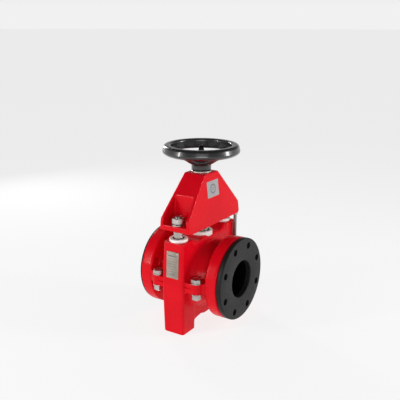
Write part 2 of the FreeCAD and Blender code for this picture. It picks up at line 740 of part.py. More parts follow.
def spindle():
    shaft = fuse([
        chamfered_rod(SPINDLE_R, SPINDLE_FOOT, COLLAR_LOW + 2),
        rod(COLLAR_R, COLLAR_LOW, COLLAR_LOW + COLLAR_H),
        rod(JOURNAL_R, COLLAR_LOW + COLLAR_H - CUT, HUB_BOTTOM),
        rod(HUB_SHAFT_R, HUB_BOTTOM - CUT, HUB_TOP - 1),
        chamfered_rod(SPINDLE_END_R, HUB_TOP - 6, HUB_TOP + 15, chamfer=1.2),
    ])
    return shaft.cut(key_slot())


def key_slot():
    return block(HUB_SHAFT_R - 3.5, HUB_SHAFT_R + 2.8, -KEY_W / 2, KEY_W / 2, HUB_BOTTOM + 4, HUB_TOP - 4)


def rim_section():
    """The section of the rim: a tall rounded band, widest near its lower edge."""
    top = WHEEL_Z + WHEEL_RIM_H / 2
    low = WHEEL_Z - WHEEL_RIM_H / 2
    inner = WHEEL_R - WHEEL_RIM_W
    return rounded_outline([
        (Vector(inner, 0, top), 4.5),
        (Vector(WHEEL_R - 3.5, 0, top), 8.0),
        (Vector(WHEEL_R + 1.4, 0, low + 6), 6.5),
        (Vector(WHEEL_R - 8, 0, low - 1), 6.0),
        (Vector(inner - 1, 0, low - 1.2), 4.0),
    ])


def spoke(angle):
    """A spoke that rises from the hub to the underside of the rim."""
    rim_r = WHEEL_R - WHEEL_RIM_W / 2
    stations = [
        (8.0, -35.0, 16.5, 10.5),
        (26.0, -32.0, 14.5, 9.0),
        (46.0, -25.0, 11.5, 7.5),
        (66.0, -16.0, 8.0, 6.0),
        (rim_r, -7.0, 5.0, 4.5),
    ]
    sections = []
    for r, above_rim, half_wide, half_thick in stations:
        centre = Vector(r, 0, WHEEL_Z + above_rim)
        sections.append(Part.Wire(Part.Ellipse(
            centre + Vector(0, half_wide, 0), centre + Vector(0, 0, half_thick), centre).toShape()))
    arm = Part.makeLoft(sections, True, False)
    arm.rotate(ORIGIN, AXIS_Z, angle)
    return arm


def handwheel():
    rim = rim_section().revolve(ORIGIN, AXIS_Z, 360)
    foot = Vector(HUB_R, 0, HUB_BOTTOM)
    waist = Vector(HUB_R, 0, HUB_BOTTOM + 8)
    swell = Vector(HUB_R + 2, 0, HUB_BOTTOM + 15)
    widest = Vector(HUB_R + 8, 0, HUB_BOTTOM + 23)
    brow = Vector(HUB_R - 2, 0, HUB_TOP)
    axis_low, axis_high = Vector(0, 0, HUB_BOTTOM), Vector(0, 0, HUB_TOP)
    hub_edges = [
        line(axis_low, foot),
        line(foot, waist),
        arc(waist, swell, widest),
        line(widest, brow),
        line(brow, axis_high),
        line(axis_high, axis_low),
    ]
    hub = profile(hub_edges).revolve(ORIGIN, AXIS_Z, 360)
    arms = [spoke(WHEEL_SPOKE_ANGLE + n * 360 / WHEEL_SPOKES) for n in range(WHEEL_SPOKES)]
    wheel = fuse([rim, hub] + arms)
    return cut_all(wheel, [rod(HUB_SHAFT_R, HUB_BOTTOM - 20, WHEEL_Z), key_slot()])


def hub_key():
    return key_slot()


def hub_washer():
    return ring(15.0, SPINDLE_END_R + 0.3, HUB_TOP, HUB_TOP + 2.5)


def hub_nut():
    low = HUB_TOP + 2.5
    nut = hexagon(HUB_NUT[0], low, low + HUB_NUT[1])
    return nut.cut(rod(SPINDLE_END_R, low - CUT, low + HUB_NUT[1] + CUT))


# ---- plates and small fittings ------------------------------------------------------
NAMEPLATE = (37.0, 71.0, 1.2)
NAMEPLATE_Z = 56.5
LABEL = (55.0, 43.0, 0.5)
LABEL_Z = 234.0


def front_face_y(z):
    """The front face of the front pillar, which leans back above the split."""
    return -COLUMN_OUT + (COLUMN_OUT - COLUMN_TOP_OUT) * z / COLUMN_TOP


def on_pillar(shape):
    """Lay a shape drawn about the origin, facing -Y, on the front pillar's leaning face."""
    lean = math.degrees(math.atan2(COLUMN_OUT - COLUMN_TOP_OUT, COLUMN_TOP))
    shape.rotate(ORIGIN, AXIS_X, -lean)
    shape.translate(Vector(0, front_face_y(NAMEPLATE_Z), NAMEPLATE_Z))
    return shape


def nameplate():
    wide, high, thick = NAMEPLATE
    return on_pillar(block(-wide / 2, wide / 2, -thick, 0, -high / 2, high / 2))


def nameplate_rivets():
    wide, high, thick = NAMEPLATE
    rivets = []
    for x in (-wide / 2 + 4, wide / 2 - 4):
        for z in (-high / 2 + 4, high / 2 - 4):
            rivet = Part.makeCylinder(1.8, 1.0, Vector(x, -thick, z), -AXIS_Y)
            rivets.append(on_pillar(rivet))
    return Part.makeCompound(rivets)


def label_plate():
    wide, high, thick = LABEL
    plate = block(0, thick, -wide / 2, wide / 2, -high / 2, high / 2)
    plate.rotate(ORIGIN, AXIS_Y, -math.degrees(math.atan(YOKE_SLOPE)))
    plate.translate(Vector(yoke_half_width(LABEL_Z), 0, LABEL_Z))
    return plate


def indicator_rod():
    return chamfered_rod(INDICATOR_R, 66, YOKE_BOTTOM + INDICATOR_DEPTH, INDICATOR_X, INDICATOR_Y, 1.0)


def indicator_locknut():
    low = YOKE_BOTTOM - 6.0
    nut = hexagon(14, low, YOKE_BOTTOM, INDICATOR_X, INDICATOR_Y)
    return nut.cut(rod(INDICATOR_R, low - CUT, YOKE_BOTTOM + CUT, INDICATOR_X, INDICATOR_Y))


# ---- write the pieces ---------------------------------------------------------------
os.makedirs("parts", exist_ok=True)


def save(name, shape):
    lifted = shape.copy()
    lifted.translate(Vector(0, 0, BASE_TO_BORE))
    lifted.exportStep("parts/" + name + ".step")


upper = body_half(1)
save("body_upper", upper)
save("body_lower", body_half(-1))
save("body_gasket", body_gasket(upper))
save("sleeve_flange_inlet", sleeve_flange(-1))
save("sleeve_flange_outlet", sleeve_flange(1))
save("sleeve_tube", sleeve_tube())
save("rod_bush_front", rod_bush(-ROD_Y))
save("rod_bush_rear", rod_bush(ROD_Y))
save("rod_wipers", both_rods(rod_wiper))
save("stem_bush", stem_bush())
save("stem_wiper", stem_wiper())
save("bottom_plugs", both_rods(bottom_plug))
save("ear_bolts", Part.makeCompound(at_ears(ear_bolt)))
save("ear_nuts", Part.makeCompound(at_ears(ear_nut)))
save("ear_washers", Part.makeCompound(sum(at_ears(ear_washers), [])))
save("nameplate", nameplate())
save("nameplate_rivets", nameplate_rivets())

save("yoke", yoke())
save("tie_rod_front", tie_rod(-ROD_Y))
save("tie_rod_rear", tie_rod(ROD_Y))
ear_floor = YOKE_BOTTOM + YOKE_EAR_T
upper_nut_low = ear_floor + WASHER_M20[2]
lower_nut_low = -BAR_BACK - WASHER_M20[2] - NUT_M20[1]
save("rod_top_washers", both_rods(lambda y: rod_washer(ear_floor, y)))
save("rod_top_nuts", both_rods(lambda y: rod_nut(upper_nut_low, y, 20)))
save("rod_bottom_washers", both_rods(lambda y: rod_washer(-BAR_BACK - WASHER_M20[2], y)))
save("rod_bottom_nuts", both_rods(lambda y: rod_nut(lower_nut_low, y, 0)))
save("lower_pinch_bar", pinch_bar(-1, LOWER_EYE_R, ROD_END_R + 0.2))
save("spindle_bush", spindle_bush())
save("thrust_bearing_lower", thrust_bearing(BEARING_LOW))
save("thrust_bearing_upper", thrust_bearing(COLLAR_LOW + COLLAR_H + FACE_GAP))
save("bearing_cover", bearing_cover())
save("label_plate", label_plate())
save("indicator_rod", indicator_rod())
save("indicator_locknut", indicator_locknut())

save("upper_pinch_bar", upper_pinch_bar())
save("stem_tube", stem_tube())
save("stem_nut", stem_nut())

save("handwheel", handwheel())
save("spindle", spindle())
save("hub_key", hub_key())
save("hub_washer", hub_washer())
save("hub_nut", hub_nut())
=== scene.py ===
import math

import bmesh
import bpy
import numpy as np
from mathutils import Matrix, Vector


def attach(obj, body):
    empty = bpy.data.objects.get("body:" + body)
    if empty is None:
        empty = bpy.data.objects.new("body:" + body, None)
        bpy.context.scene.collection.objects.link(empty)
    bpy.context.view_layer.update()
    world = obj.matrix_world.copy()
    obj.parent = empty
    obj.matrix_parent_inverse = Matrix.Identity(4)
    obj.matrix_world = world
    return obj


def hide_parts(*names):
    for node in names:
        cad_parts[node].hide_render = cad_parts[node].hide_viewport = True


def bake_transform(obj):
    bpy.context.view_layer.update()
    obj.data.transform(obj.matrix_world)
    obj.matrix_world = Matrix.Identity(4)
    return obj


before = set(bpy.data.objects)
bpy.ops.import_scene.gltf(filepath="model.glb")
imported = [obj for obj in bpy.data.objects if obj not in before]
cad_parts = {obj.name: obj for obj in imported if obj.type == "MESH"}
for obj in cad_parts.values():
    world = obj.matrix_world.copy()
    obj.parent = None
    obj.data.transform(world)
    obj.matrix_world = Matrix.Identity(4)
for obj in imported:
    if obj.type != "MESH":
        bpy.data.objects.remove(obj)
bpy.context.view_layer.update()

# Hand-operated rubber-sleeve pinch valve. Shapes are drawn in millimetres from the bore axis;
# BORE_HEIGHT lifts them and MM turns them into metres when a mesh is made. Materials, lights and
# the camera are in metres from the frame's origin, which is level with the feet.
MM = 0.001
BORE_HEIGHT = 135.0
FAR = 200.0             # beyond the outside of every casting

BORE_R = 50.0
SLEEVE_R = 60.0
FACE = 127.0
FLANGE_R = 110.0
FLANGE_EDGE_R = 3.5
FLANGE_HOLES = 8
FLANGE_HOLE_R = 9.0
BOLT_CIRCLE_R = 90.0
FLANGE_BACK = {1: 79.0, -1: 90.0}       # 1 is the outlet and -1 the inlet
FLANGE_FRONT = {1: 112.0, -1: 123.0}
SPLIT_HALF = 0.5        # half the gap between the two castings

ROD_Y = 107.0
ROD_R = 12.5
ROD_END_R = 10.0
ROD_PITCH = 2.5
ROD_SIDES = (-ROD_Y, ROD_Y)
STEM_R = 19.0

EAR_T = 14.0
EAR_BOLT_X = 60.0
EAR_BOLT_Y = 116.0
EAR_BOLT_R = 8.0
EAR_HOLE_R = 8.75
EAR_REACH = 15.0
EAR_ROOT_X = 20.0
EAR_ROOT_OUT = 128.0
EAR_END_OUT = 106.0
EAR_END_IN = 50.0
EAR_INTO_FLANGE = 3.0

COLUMN_TOP = 115.0
COLUMN_ROUND = 6.0
COLUMN_TOP_HALF = 30.0
COLUMN_FOOT_HALF = 31.0
COLUMN_OUT = 138.0      # outer face at the split
COLUMN_TOP_OUT = 132.0
COLUMN_FOOT_OUT = 134.5
COLUMN_IN = 76.0
COLUMN_END_IN = 78.0

SLAB_HALF = 33.0
SLAB_SHOULDER_HALF = 30.5
WEB_Y = 78.0
WEB_HEIGHT = 113.0
ARCH_VALLEY_Y = 46.0
POCKET_TOP = 93.0
POCKET_BOTTOM = -124.0
SLOT_HALF = 18.0
ROD_BUSH_R = 17.0
STEM_BUSH_R = 24.0
STEM_COLLAR_R = 30.0
STEM_SEAT = 103.5

YOKE_BOTTOM = 140.0
YOKE_EAR_TOP = 157.0
YOKE_KNEE = 173.0
YOKE_TOP = 276.0
YOKE_HALF_BOTTOM = 46.5
YOKE_HALF_TOP = 31.4
YOKE_LENGTH_BOTTOM = 126.0
YOKE_LENGTH_TOP = 33.0
YOKE_WALL = 8.5
YOKE_BACK_T = 12.0
YOKE_CAVITY_Y = 66.0
YOKE_POCKET_Y = 78.0
YOKE_BLOCK_BOTTOM = 229.0
INDICATOR_X = 38.0
INDICATOR_Y = 117.0

WHEEL_R = 101.4
WHEEL_Z = 336.0
WHEEL_RIM_H = 25.0
WHEEL_RIM_W = 21.5
WHEEL_SPOKES = 5
WHEEL_SPOKE_ANGLE = 122.8
HUB_BOTTOM = 282.0
HUB_TOP = 312.0
HUB_SHAFT_R = 10.0

NUT_M20 = (30.0, 17.0)          # across flats, height
NUT_M16 = (24.0, 13.0)
HEAD_M16 = (24.0, 10.0)
WASHER_M20 = (18.5, 10.5, 3.0)  # outer and inner radius, thickness
WASHER_M16 = (14.5, 8.6, 2.5)

PLATE_Z = 56.5
PLATE_Y = -COLUMN_OUT + (COLUMN_OUT - COLUMN_TOP_OUT) * PLATE_Z / COLUMN_TOP
PLATE_LEAN = -math.atan2(COLUMN_OUT - COLUMN_TOP_OUT, COLUMN_TOP)
LABEL_Z = 234.0


# ---- meshes ---------------------------------------------------------------------------
def mesh_object(name, points, faces):
    """An object from points in millimetres about the bore axis."""
    placed = np.array(points, float) * MM
    placed[:, 2] += BORE_HEIGHT * MM
    mesh = bpy.data.meshes.new(name)
    mesh.from_pydata([tuple(p) for p in placed], [], faces)
    mesh.update()
    made = bpy.data.objects.new(name, mesh)
    bpy.context.scene.collection.objects.link(made)
    return made


def skin(name, rings, closed=False):
    """A closed mesh over rings of equally many points; the end rings are capped unless closed."""
    count = len(rings[0])
    points = [tuple(p) for one in rings for p in one]
    faces = []
    spans = len(rings) if closed else len(rings) - 1
    for n in range(spans):
        a = n * count
        b = ((n + 1) % len(rings)) * count
        for k in range(count):
            m = (k + 1) % count
            faces.append((a + k, a + m, b + m, b + k))
    if not closed:
        faces.append(tuple(reversed(range(count))))
        last = (len(rings) - 1) * count
        faces.append(tuple(last + k for k in range(count)))
    made = mesh_object(name, points, faces)
    fix_normals(made)
    return made


def fix_normals(made):
    """Turn every face outward."""
    work = bmesh.new()
    work.from_mesh(made.data)
    bmesh.ops.recalc_face_normals(work, faces=work.faces)
    work.to_mesh(made.data)
    work.free()


def round_ring(radius, z, x=0.0, y=0.0, steps=96):
    """A circle round an upright axis."""
    ring = []
    for k in range(steps):
        angle = 2 * math.pi * k / steps
        ring.append((x + radius * math.cos(angle), y + radius * math.sin(angle), z))
    return ring


def round_ring_x(radius, x, y=0.0, z=0.0, steps=96):
    """A circle round an axis along the pipe."""
    ring = []
    for k in range(steps):
        angle = 2 * math.pi * k / steps
        ring.append((x, y + radius * math.cos(angle), z + radius * math.sin(angle)))
    return ring


def turned(name, outline, x=0.0, y=0.0, steps=96):
    """A body of revolution round an upright axis, from a closed outline of (radius, height)."""
    return skin(name, [round_ring(radius, z, x, y, steps) for radius, z in outline], closed=True)


def turned_x(name, outline, steps=96):
    """A body of revolution round the pipe's axis, from a closed outline of (radius, x)."""
    return skin(name, [round_ring_x(radius, x, steps=steps) for radius, x in outline], closed=True)


def plain_rod(radius, low, high, x=0.0, y=0.0, steps=96):
    return skin("tool", [round_ring(radius, z, x, y, steps) for z in (low, high)])


def plain_rod_x(radius, low, high, y=0.0, z=0.0, steps=96):
    return skin("tool", [round_ring_x(radius, x, y, z, steps) for x in (low, high)])


def quarter_turn(steps):
    """Cosine and sine at even steps from 0 to 90 degrees."""
    angles = [math.radians(90 * k / steps) for k in range(steps + 1)]
    return [(math.cos(a), math.sin(a)) for a in angles]


def box(x0, x1, y0, y1, z0, z1):
    rings = []
    for z in (z0, z1):
        rings.append([(x0, y0, z), (x1, y0, z), (x1, y1, z), (x0, y1, z)])
    return skin("tool", rings)


def join(name, objects):
    """One object from several, with no union of their volumes."""
    points, faces = [], []
    for one in objects:
        start = len(points)
        points += [tuple(v.co) for v in one.data.vertices]
        faces += [tuple(start + v for v in f.vertices) for f in one.data.polygons]
        bpy.data.objects.remove(one)
    mesh = bpy.data.meshes.new(name)
    mesh.from_pydata(points, [], faces)
    mesh.update()
    made = bpy.data.objects.new(name, mesh)
    bpy.context.scene.collection.objects.link(made)
    return made


def apply_modifiers(made):
    """Bake the modifiers into the mesh."""
    graph = bpy.context.evaluated_depsgraph_get()
    mesh = bpy.data.meshes.new_from_object(made.evaluated_get(graph))
    made.modifiers.clear()
    made.data = mesh
    return made


def melt(made, voxel, passes):
    """Unite overlapping shells and round every edge, as a sand casting is."""
    remesh = made.modifiers.new("unite", "REMESH")
    remesh.mode = "VOXEL"
    remesh.voxel_size = voxel * MM
    smooth = made.modifiers.new("round", "SMOOTH")
    smooth.factor = 0.5
    smooth.iterations = passes
    return apply_modifiers(made)


def cut(made, tools):
    """Take the tools away, one after another, leaving machined edges."""
    for tool in tools:
        step = made.modifiers.new("cut", "BOOLEAN")
        step.operation = "DIFFERENCE"
        step.solver = "MANIFOLD"
        step.object = tool
        apply_modifiers(made)
        bpy.data.objects.remove(tool)
    return made


def shade(made, angle=35.0):
    """Smooth shading, kept sharp at edges steeper than the angle."""
    made.data.shade_smooth()
    work = bmesh.new()
    work.from_mesh(made.data)
    limit = math.radians(angle)
    for edge in work.edges:
        edge.smooth = not (len(edge.link_faces) == 2 and edge.calc_face_angle(0) > limit)
    work.to_mesh(made.data)
    work.free()
    return made


def finish_piece(made, body, material, nodes=(), angle=35.0):
    """Give a piece its material and shading, its body and the nodes it replaces."""
    made.data.materials.clear()
    made.data.materials.append(material)
    shade(made, angle)
    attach(made, body)
    if nodes:
        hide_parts(*nodes)
    return made


# ---- materials ------------------------------------------------------------------------
def new_material(name):
    material = bpy.data.materials.new(name)
    material.use_nodes = True
    tree = material.node_tree
    shader = tree.nodes["Principled BSDF"]
    return material, tree, shader


def noise(tree, scale, detail=4.0, roughness=0.5, stretch=(1.0, 1.0, 1.0)):
    """Noise over the object's own coordinates, in metres; scale is waves per metre."""
    where = tree.nodes.new("ShaderNodeTexCoord")
    spread = tree.nodes.new("ShaderNodeMapping")
    spread.inputs["Scale"].default_value = stretch
    field = tree.nodes.new("ShaderNodeTexNoise")
    field.inputs["Scale"].default_value = scale
    field.inputs["Detail"].default_value = detail
    field.inputs["Roughness"].default_value = roughness
    tree.links.new(where.outputs["Object"], spread.inputs["Vector"])
    tree.links.new(spread.outputs["Vector"], field.inputs["Vector"])
    return field.outputs["Fac"]


def ramp(tree, value, stops):
    """A colour ramp; stops are (position, colour)."""
    blend = tree.nodes.new("ShaderNodeValToRGB")
    elements = blend.color_ramp.elements
    while len(elements) < len(stops):
        elements.new(0.5)
    for element, (position, colour) in zip(elements, stops):
        element.position = position
        element.color = (*colour, 1.0)
    tree.links.new(value, blend.inputs["Fac"])
    return blend.outputs["Color"]


def spread_value(tree, value, low, high, start=0.3, end=0.7):
    """Map a noise value from start..end to low..high."""
    scale = tree.nodes.new("ShaderNodeMapRange")
    scale.inputs["From Min"].default_value = start
    scale.inputs["From Max"].default_value = end
    scale.inputs["To Min"].default_value = low
    scale.inputs["To Max"].default_value = high
    tree.links.new(value, scale.inputs["Value"])
    return scale.outputs["Result"]


def add_values(tree, a, b):
    total = tree.nodes.new("ShaderNodeMath")
    total.operation = "ADD"
    tree.links.new(a, total.inputs[0])
    tree.links.new(b, total.inputs[1])
    return total.outputs["Value"]


def bump(tree, shader, height, distance, strength=1.0):
    """Relief of the given depth in metres."""
    relief = tree.nodes.new("ShaderNodeBump")
    relief.inputs["Strength"].default_value = strength
    relief.inputs["Distance"].default_value = distance
    tree.links.new(height, relief.inputs["Height"])
    tree.links.new(relief.outputs["Normal"], shader.inputs["Normal"])


def paint(name, light, dark, rough_low, rough_high, grain, specular, coat):
    """Enamel over a sand casting: orange peel, faint casting grain and slow changes of shade."""
    material, tree, shader = new_material(name)
    shade_field = noise(tree, 14.0, 3.0)
    colour = ramp(tree, shade_field, [(0.3, dark), (0.62, light)])
    tree.links.new(colour, shader.inputs["Base Color"])
    dullness = spread_value(tree, noise(tree, 60.0, 5.0), rough_low, rough_high)
    tree.links.new(dullness, shader.inputs["Roughness"])
    shader.inputs["Specular IOR Level"].default_value = specular
    shader.inputs["Coat Weight"].default_value = coat
    shader.inputs["Coat Roughness"].default_value = 0.1
    peel = spread_value(tree, noise(tree, 420.0, 2.0), 0.0, 0.35)
    sand = spread_value(tree, noise(tree, 160.0, 6.0, 0.62), 0.0, 1.0)
    bump(tree, shader, add_values(tree, peel, sand), grain)
    return material


def metal(name, light, dark, rough_low, rough_high, scratch=(1.0, 1.0, 1.0), relief=0.00002, scale=220.0):
    """Plated or ground metal with fine marks that run across the stretch directions."""
    material, tree, shader = new_material(name)
    colour = ramp(tree, noise(tree, 45.0, 5.0), [(0.35, dark), (0.65, light)])
    tree.links.new(colour, shader.inputs["Base Color"])
    shader.inputs["Metallic"].default_value = 1.0
    marks = noise(tree, scale, 4.0, 0.6, scratch)
    tree.links.new(spread_value(tree, marks, rough_low, rough_high), shader.inputs["Roughness"])
    bump(tree, shader, marks, relief)
    return material


def moulded(name, light, dark, rough_low, rough_high, relief, scale, specular=0.5):
    """Rubber or plastic with a fine speckle."""
    material, tree, shader = new_material(name)
    speckle = noise(tree, scale, 6.0, 0.65)
    colour = ramp(tree, speckle, [(0.38, dark), (0.66, light)])
    tree.links.new(colour, shader.inputs["Base Color"])
    dullness = spread_value(tree, noise(tree, scale * 0.3, 4.0), rough_low, rough_high)
    tree.links.new(dullness, shader.inputs["Roughness"])
    shader.inputs["Specular IOR Level"].default_value = specular
    bump(tree, shader, speckle, relief)
    return material


def grey(level):
    return (level, level, level)


RED = paint("red_enamel", (0.70, 0.003, 0.012), (0.64, 0.002, 0.009), 0.24, 0.36, 0.00006, 0.05, 0.1)
WHEEL_BLACK = paint("black_gloss", grey(0.01), grey(0.005), 0.26, 0.36, 0.00003, 0.5, 0.5)
RUBBER = moulded("moulded_rubber", grey(0.011), grey(0.006), 0.4, 0.56, 0.00006, 700.0, 0.2)
# The tube's rubber is painted near black, darker than the flange rubber and nearly without gloss: painted
# shade for the dark inside of the bore.
SHADED_BORE_RUBBER = moulded("sleeve_bore_painted_shade", grey(0.002), grey(0.001), 0.7, 0.8, 0.00004, 500.0, 0.01)
SEAL = moulded("seal_rubber", grey(0.03), grey(0.02), 0.4, 0.55, 0.00003, 500.0)
WHITE = moulded("white_polymer", (0.86, 0.85, 0.82), (0.8, 0.79, 0.76), 0.3, 0.42, 0.00002, 300.0)
ZINC = metal("zinc_plate", (0.62, 0.56, 0.53), (0.44, 0.39, 0.37), 0.2, 0.34)
STEEL = metal("ground_steel", (0.62, 0.61, 0.6), (0.5, 0.49, 0.48), 0.26, 0.42, (1.0, 1.0, 14.0))
GREY_ROD = metal("dull_steel", (0.3, 0.29, 0.28), (0.2, 0.19, 0.19), 0.4, 0.55, (1.0, 1.0, 10.0))
BRONZE = metal("bronze", (0.62, 0.4, 0.18), (0.5, 0.3, 0.12), 0.26, 0.4)
PLATE = metal("brushed_plate", (0.42, 0.36, 0.3), (0.3, 0.26, 0.22), 0.38, 0.55, (1.0, 1.0, 22.0))
FILM = moulded("label_film", (0.38, 0.355, 0.355), (0.30, 0.28, 0.285), 0.28, 0.4, 0.00001, 200.0)
INK = moulded("grey_ink", (0.16, 0.17, 0.18), (0.1, 0.11, 0.12), 0.4, 0.55, 0.00001, 400.0)


# ---- castings -------------------------------------------------------------------------
def eased(knots, values, count):
    """Smooth steps through a few sections, with slopes limited so that the curve never overshoots."""
    knots = np.array(knots, float)
    values = np.array(values, float)
    widths = np.diff(knots)
    rises = np.diff(values, axis=0) / widths[:, None]
    slopes = np.zeros_like(values)
    product = rises[:-1] * rises[1:]
    steady = 2 * rises[:-1] * rises[1:] / (rises[:-1] + rises[1:] + 1e-9)
    slopes[1:-1] = np.where(product > 0, steady, 0)
    slopes[0], slopes[-1] = rises[0], rises[-1]
    at = np.linspace(knots[0], knots[-1], count)
    out = []
    for x in at:
        n = min(int(np.searchsorted(knots, x, side="right")) - 1, len(widths) - 1)
        h = widths[n]
        t = (x - knots[n]) / h
        out.append((2 * t**3 - 3 * t**2 + 1) * values[n] + (t**3 - 2 * t**2 + t) * h * slopes[n]
                   + (-2 * t**3 + 3 * t**2) * values[n + 1] + (t**3 - t**2) * h * slopes[n + 1])
    return at, out


def ellipse_ring(x, half_y, half_z, steps=120):
    ring = []
    for k in range(steps):
        angle = 2 * math.pi * k / steps
        ring.append((x, half_y * math.cos(angle), half_z * math.sin(angle)))
    return ring


def loft_x(name, knots, halves, steps, side=1):
    """Ellipses along the pipe's axis, eased between a few (half_y, half_z) sections."""
    at, values = eased(knots, halves, steps)
    return skin(name, [ellipse_ring(side * x, v[0], v[1]) for x, v in zip(at, values)])


def rounded_ring(half, y0, y1, z, radius, steps=6):
    """A rounded rectangle at height z, from y0 to y1."""
    ring = []
    for cx, cy, start in ((half - radius, y1 - radius, 0), (radius - half, y1 - radius, 90),
                          (radius - half, y0 + radius, 180), (half - radius, y0 + radius, 270)):
        for k in range(steps + 1):
            a = math.radians(start + 90 * k / steps)
            ring.append((cx + radius * math.cos(a), cy + radius * math.sin(a), z))
    return ring


def flange_disc(side):
    """A pipe flange with rounded edges."""
    back, front = FLANGE_BACK[side], FLANGE_FRONT[side]
    straight = FLANGE_R - FLANGE_EDGE_R
    outline = [(0.01, back)]
    for c, s in quarter_turn(6):
        outline.append((straight + FLANGE_EDGE_R * s, back + FLANGE_EDGE_R - FLANGE_EDGE_R * c))
    for c, s in quarter_turn(6):
        outline.append((straight + FLANGE_EDGE_R * c, front - FLANGE_EDGE_R + FLANGE_EDGE_R * s))
    outline.append((0.01, front))
    return turned_x("disc", [(r, side * x) for r, x in outline], steps=160)


def bell(side):
    """The oval neck that flares from the flange into the housing."""
    knots = [28.0, 36.0, 46.0, 62.0, FLANGE_BACK[side] + 1]
    halves = [(134, 90), (112, 85), (99.5, 81), (88, 78), (76, 75)]
    return loft_x("bell", knots, halves, 32, side)


def pillar(y_side, z_side):
    """The tapered pillar round a tie rod, above or below the split."""
    far, half, outer = COLUMN_TOP, COLUMN_TOP_HALF, COLUMN_TOP_OUT
    if z_side < 0:
        far, half, outer = -BORE_HEIGHT, COLUMN_FOOT_HALF, COLUMN_FOOT_OUT
    rings = []
    for share in (0.0, 0.5, 1.0):
        h = SLAB_HALF + (half - SLAB_HALF) * share
        out = COLUMN_OUT + (outer - COLUMN_OUT) * share
        inner = COLUMN_IN + (COLUMN_END_IN - COLUMN_IN) * share
        low, high = (-out, -inner) if y_side < 0 else (inner, out)
        rings.append(rounded_ring(h, low, high, far * share, COLUMN_ROUND))
    return skin("pillar", rings)


def arch_height(y, valley, crest):
    """The height of the housing's arched back."""
    y = abs(y)
    if y < ARCH_VALLEY_Y:
        return crest - (crest - valley) * (y / ARCH_VALLEY_Y) ** 2
    if y < WEB_Y:
        t = (y - ARCH_VALLEY_Y) / (WEB_Y - ARCH_VALLEY_Y)
        return valley + (WEB_HEIGHT - valley) * t * t
    return WEB_HEIGHT


def housing(z_side):
    """The slab between the pillars, with a rounded crown and an arched back."""
    valley, crest, shoulder, crown = 104.5, 109.5, 94.0, 13.0
    if z_side < 0:
        valley, crest, shoulder, crown = 106.0, 116.5, 106.0, 18.0
    top = max(crest, WEB_HEIGHT)
    rings = []
    for y in np.linspace(-ROD_Y, ROD_Y, 61):
        limit = arch_height(y, valley, crest)
        right = []
        for c, s in quarter_turn(12):
            x = crown + (SLAB_SHOULDER_HALF - crown) * c
            z = shoulder + (top - shoulder) * s
            right.append((x, y, min(z, limit)))
        one = [(-SLAB_HALF, y, -2.0), (SLAB_HALF, y, -2.0)] + right
        one += [(-x, y, z) for x, y, z in reversed(right)]
        rings.append([(x, y, z_side * z) for x, y, z in one])
    return skin("housing", rings)


def clamp_ear(x_side, y_side):
    """The pair of clamping ears beside one pillar, upper and lower together."""
    end_x = FLANGE_BACK[x_side] + EAR_INTO_FLANGE
    outline = [(EAR_ROOT_X, WEB_Y), (EAR_ROOT_X, EAR_ROOT_OUT), (EAR_BOLT_X, EAR_BOLT_Y + EAR_REACH)]
    for k in range(1, 10):
        a = math.radians(90 - 90 * k / 9)
        outline.append((EAR_BOLT_X + EAR_REACH * math.cos(a), EAR_BOLT_Y + EAR_REACH * math.sin(a)))
    outline += [(end_x, EAR_END_OUT), (end_x, EAR_END_IN)]
    rings = []
    for z in (-EAR_T, EAR_T):
        rings.append([(x_side * x, y_side * y, z) for x, y in outline])
    return skin("ear", rings)


def flange_hole_tools(low, high):
    """Round tools through the bolt circle, from low to high along the pipe."""
    tools = []
    for n in range(FLANGE_HOLES):
        a = 2 * math.pi * (n + 0.5) / FLANGE_HOLES
        y, z = BOLT_CIRCLE_R * math.cos(a), BOLT_CIRCLE_R * math.sin(a)
        tools.append(plain_rod_x(FLANGE_HOLE_R, low, high, y, z, 40))
    return tools


def copy_of(made, name):
    twin = bpy.data.objects.new(name, made.data.copy())
    bpy.context.scene.collection.objects.link(twin)
    return twin


def rod_tools(name, radius, low, high, steps=96):
    """The same upright tool at both tie rods, as one object."""
    return join(name, [plain_rod(radius, low, high, 0, y, steps) for y in ROD_SIDES])


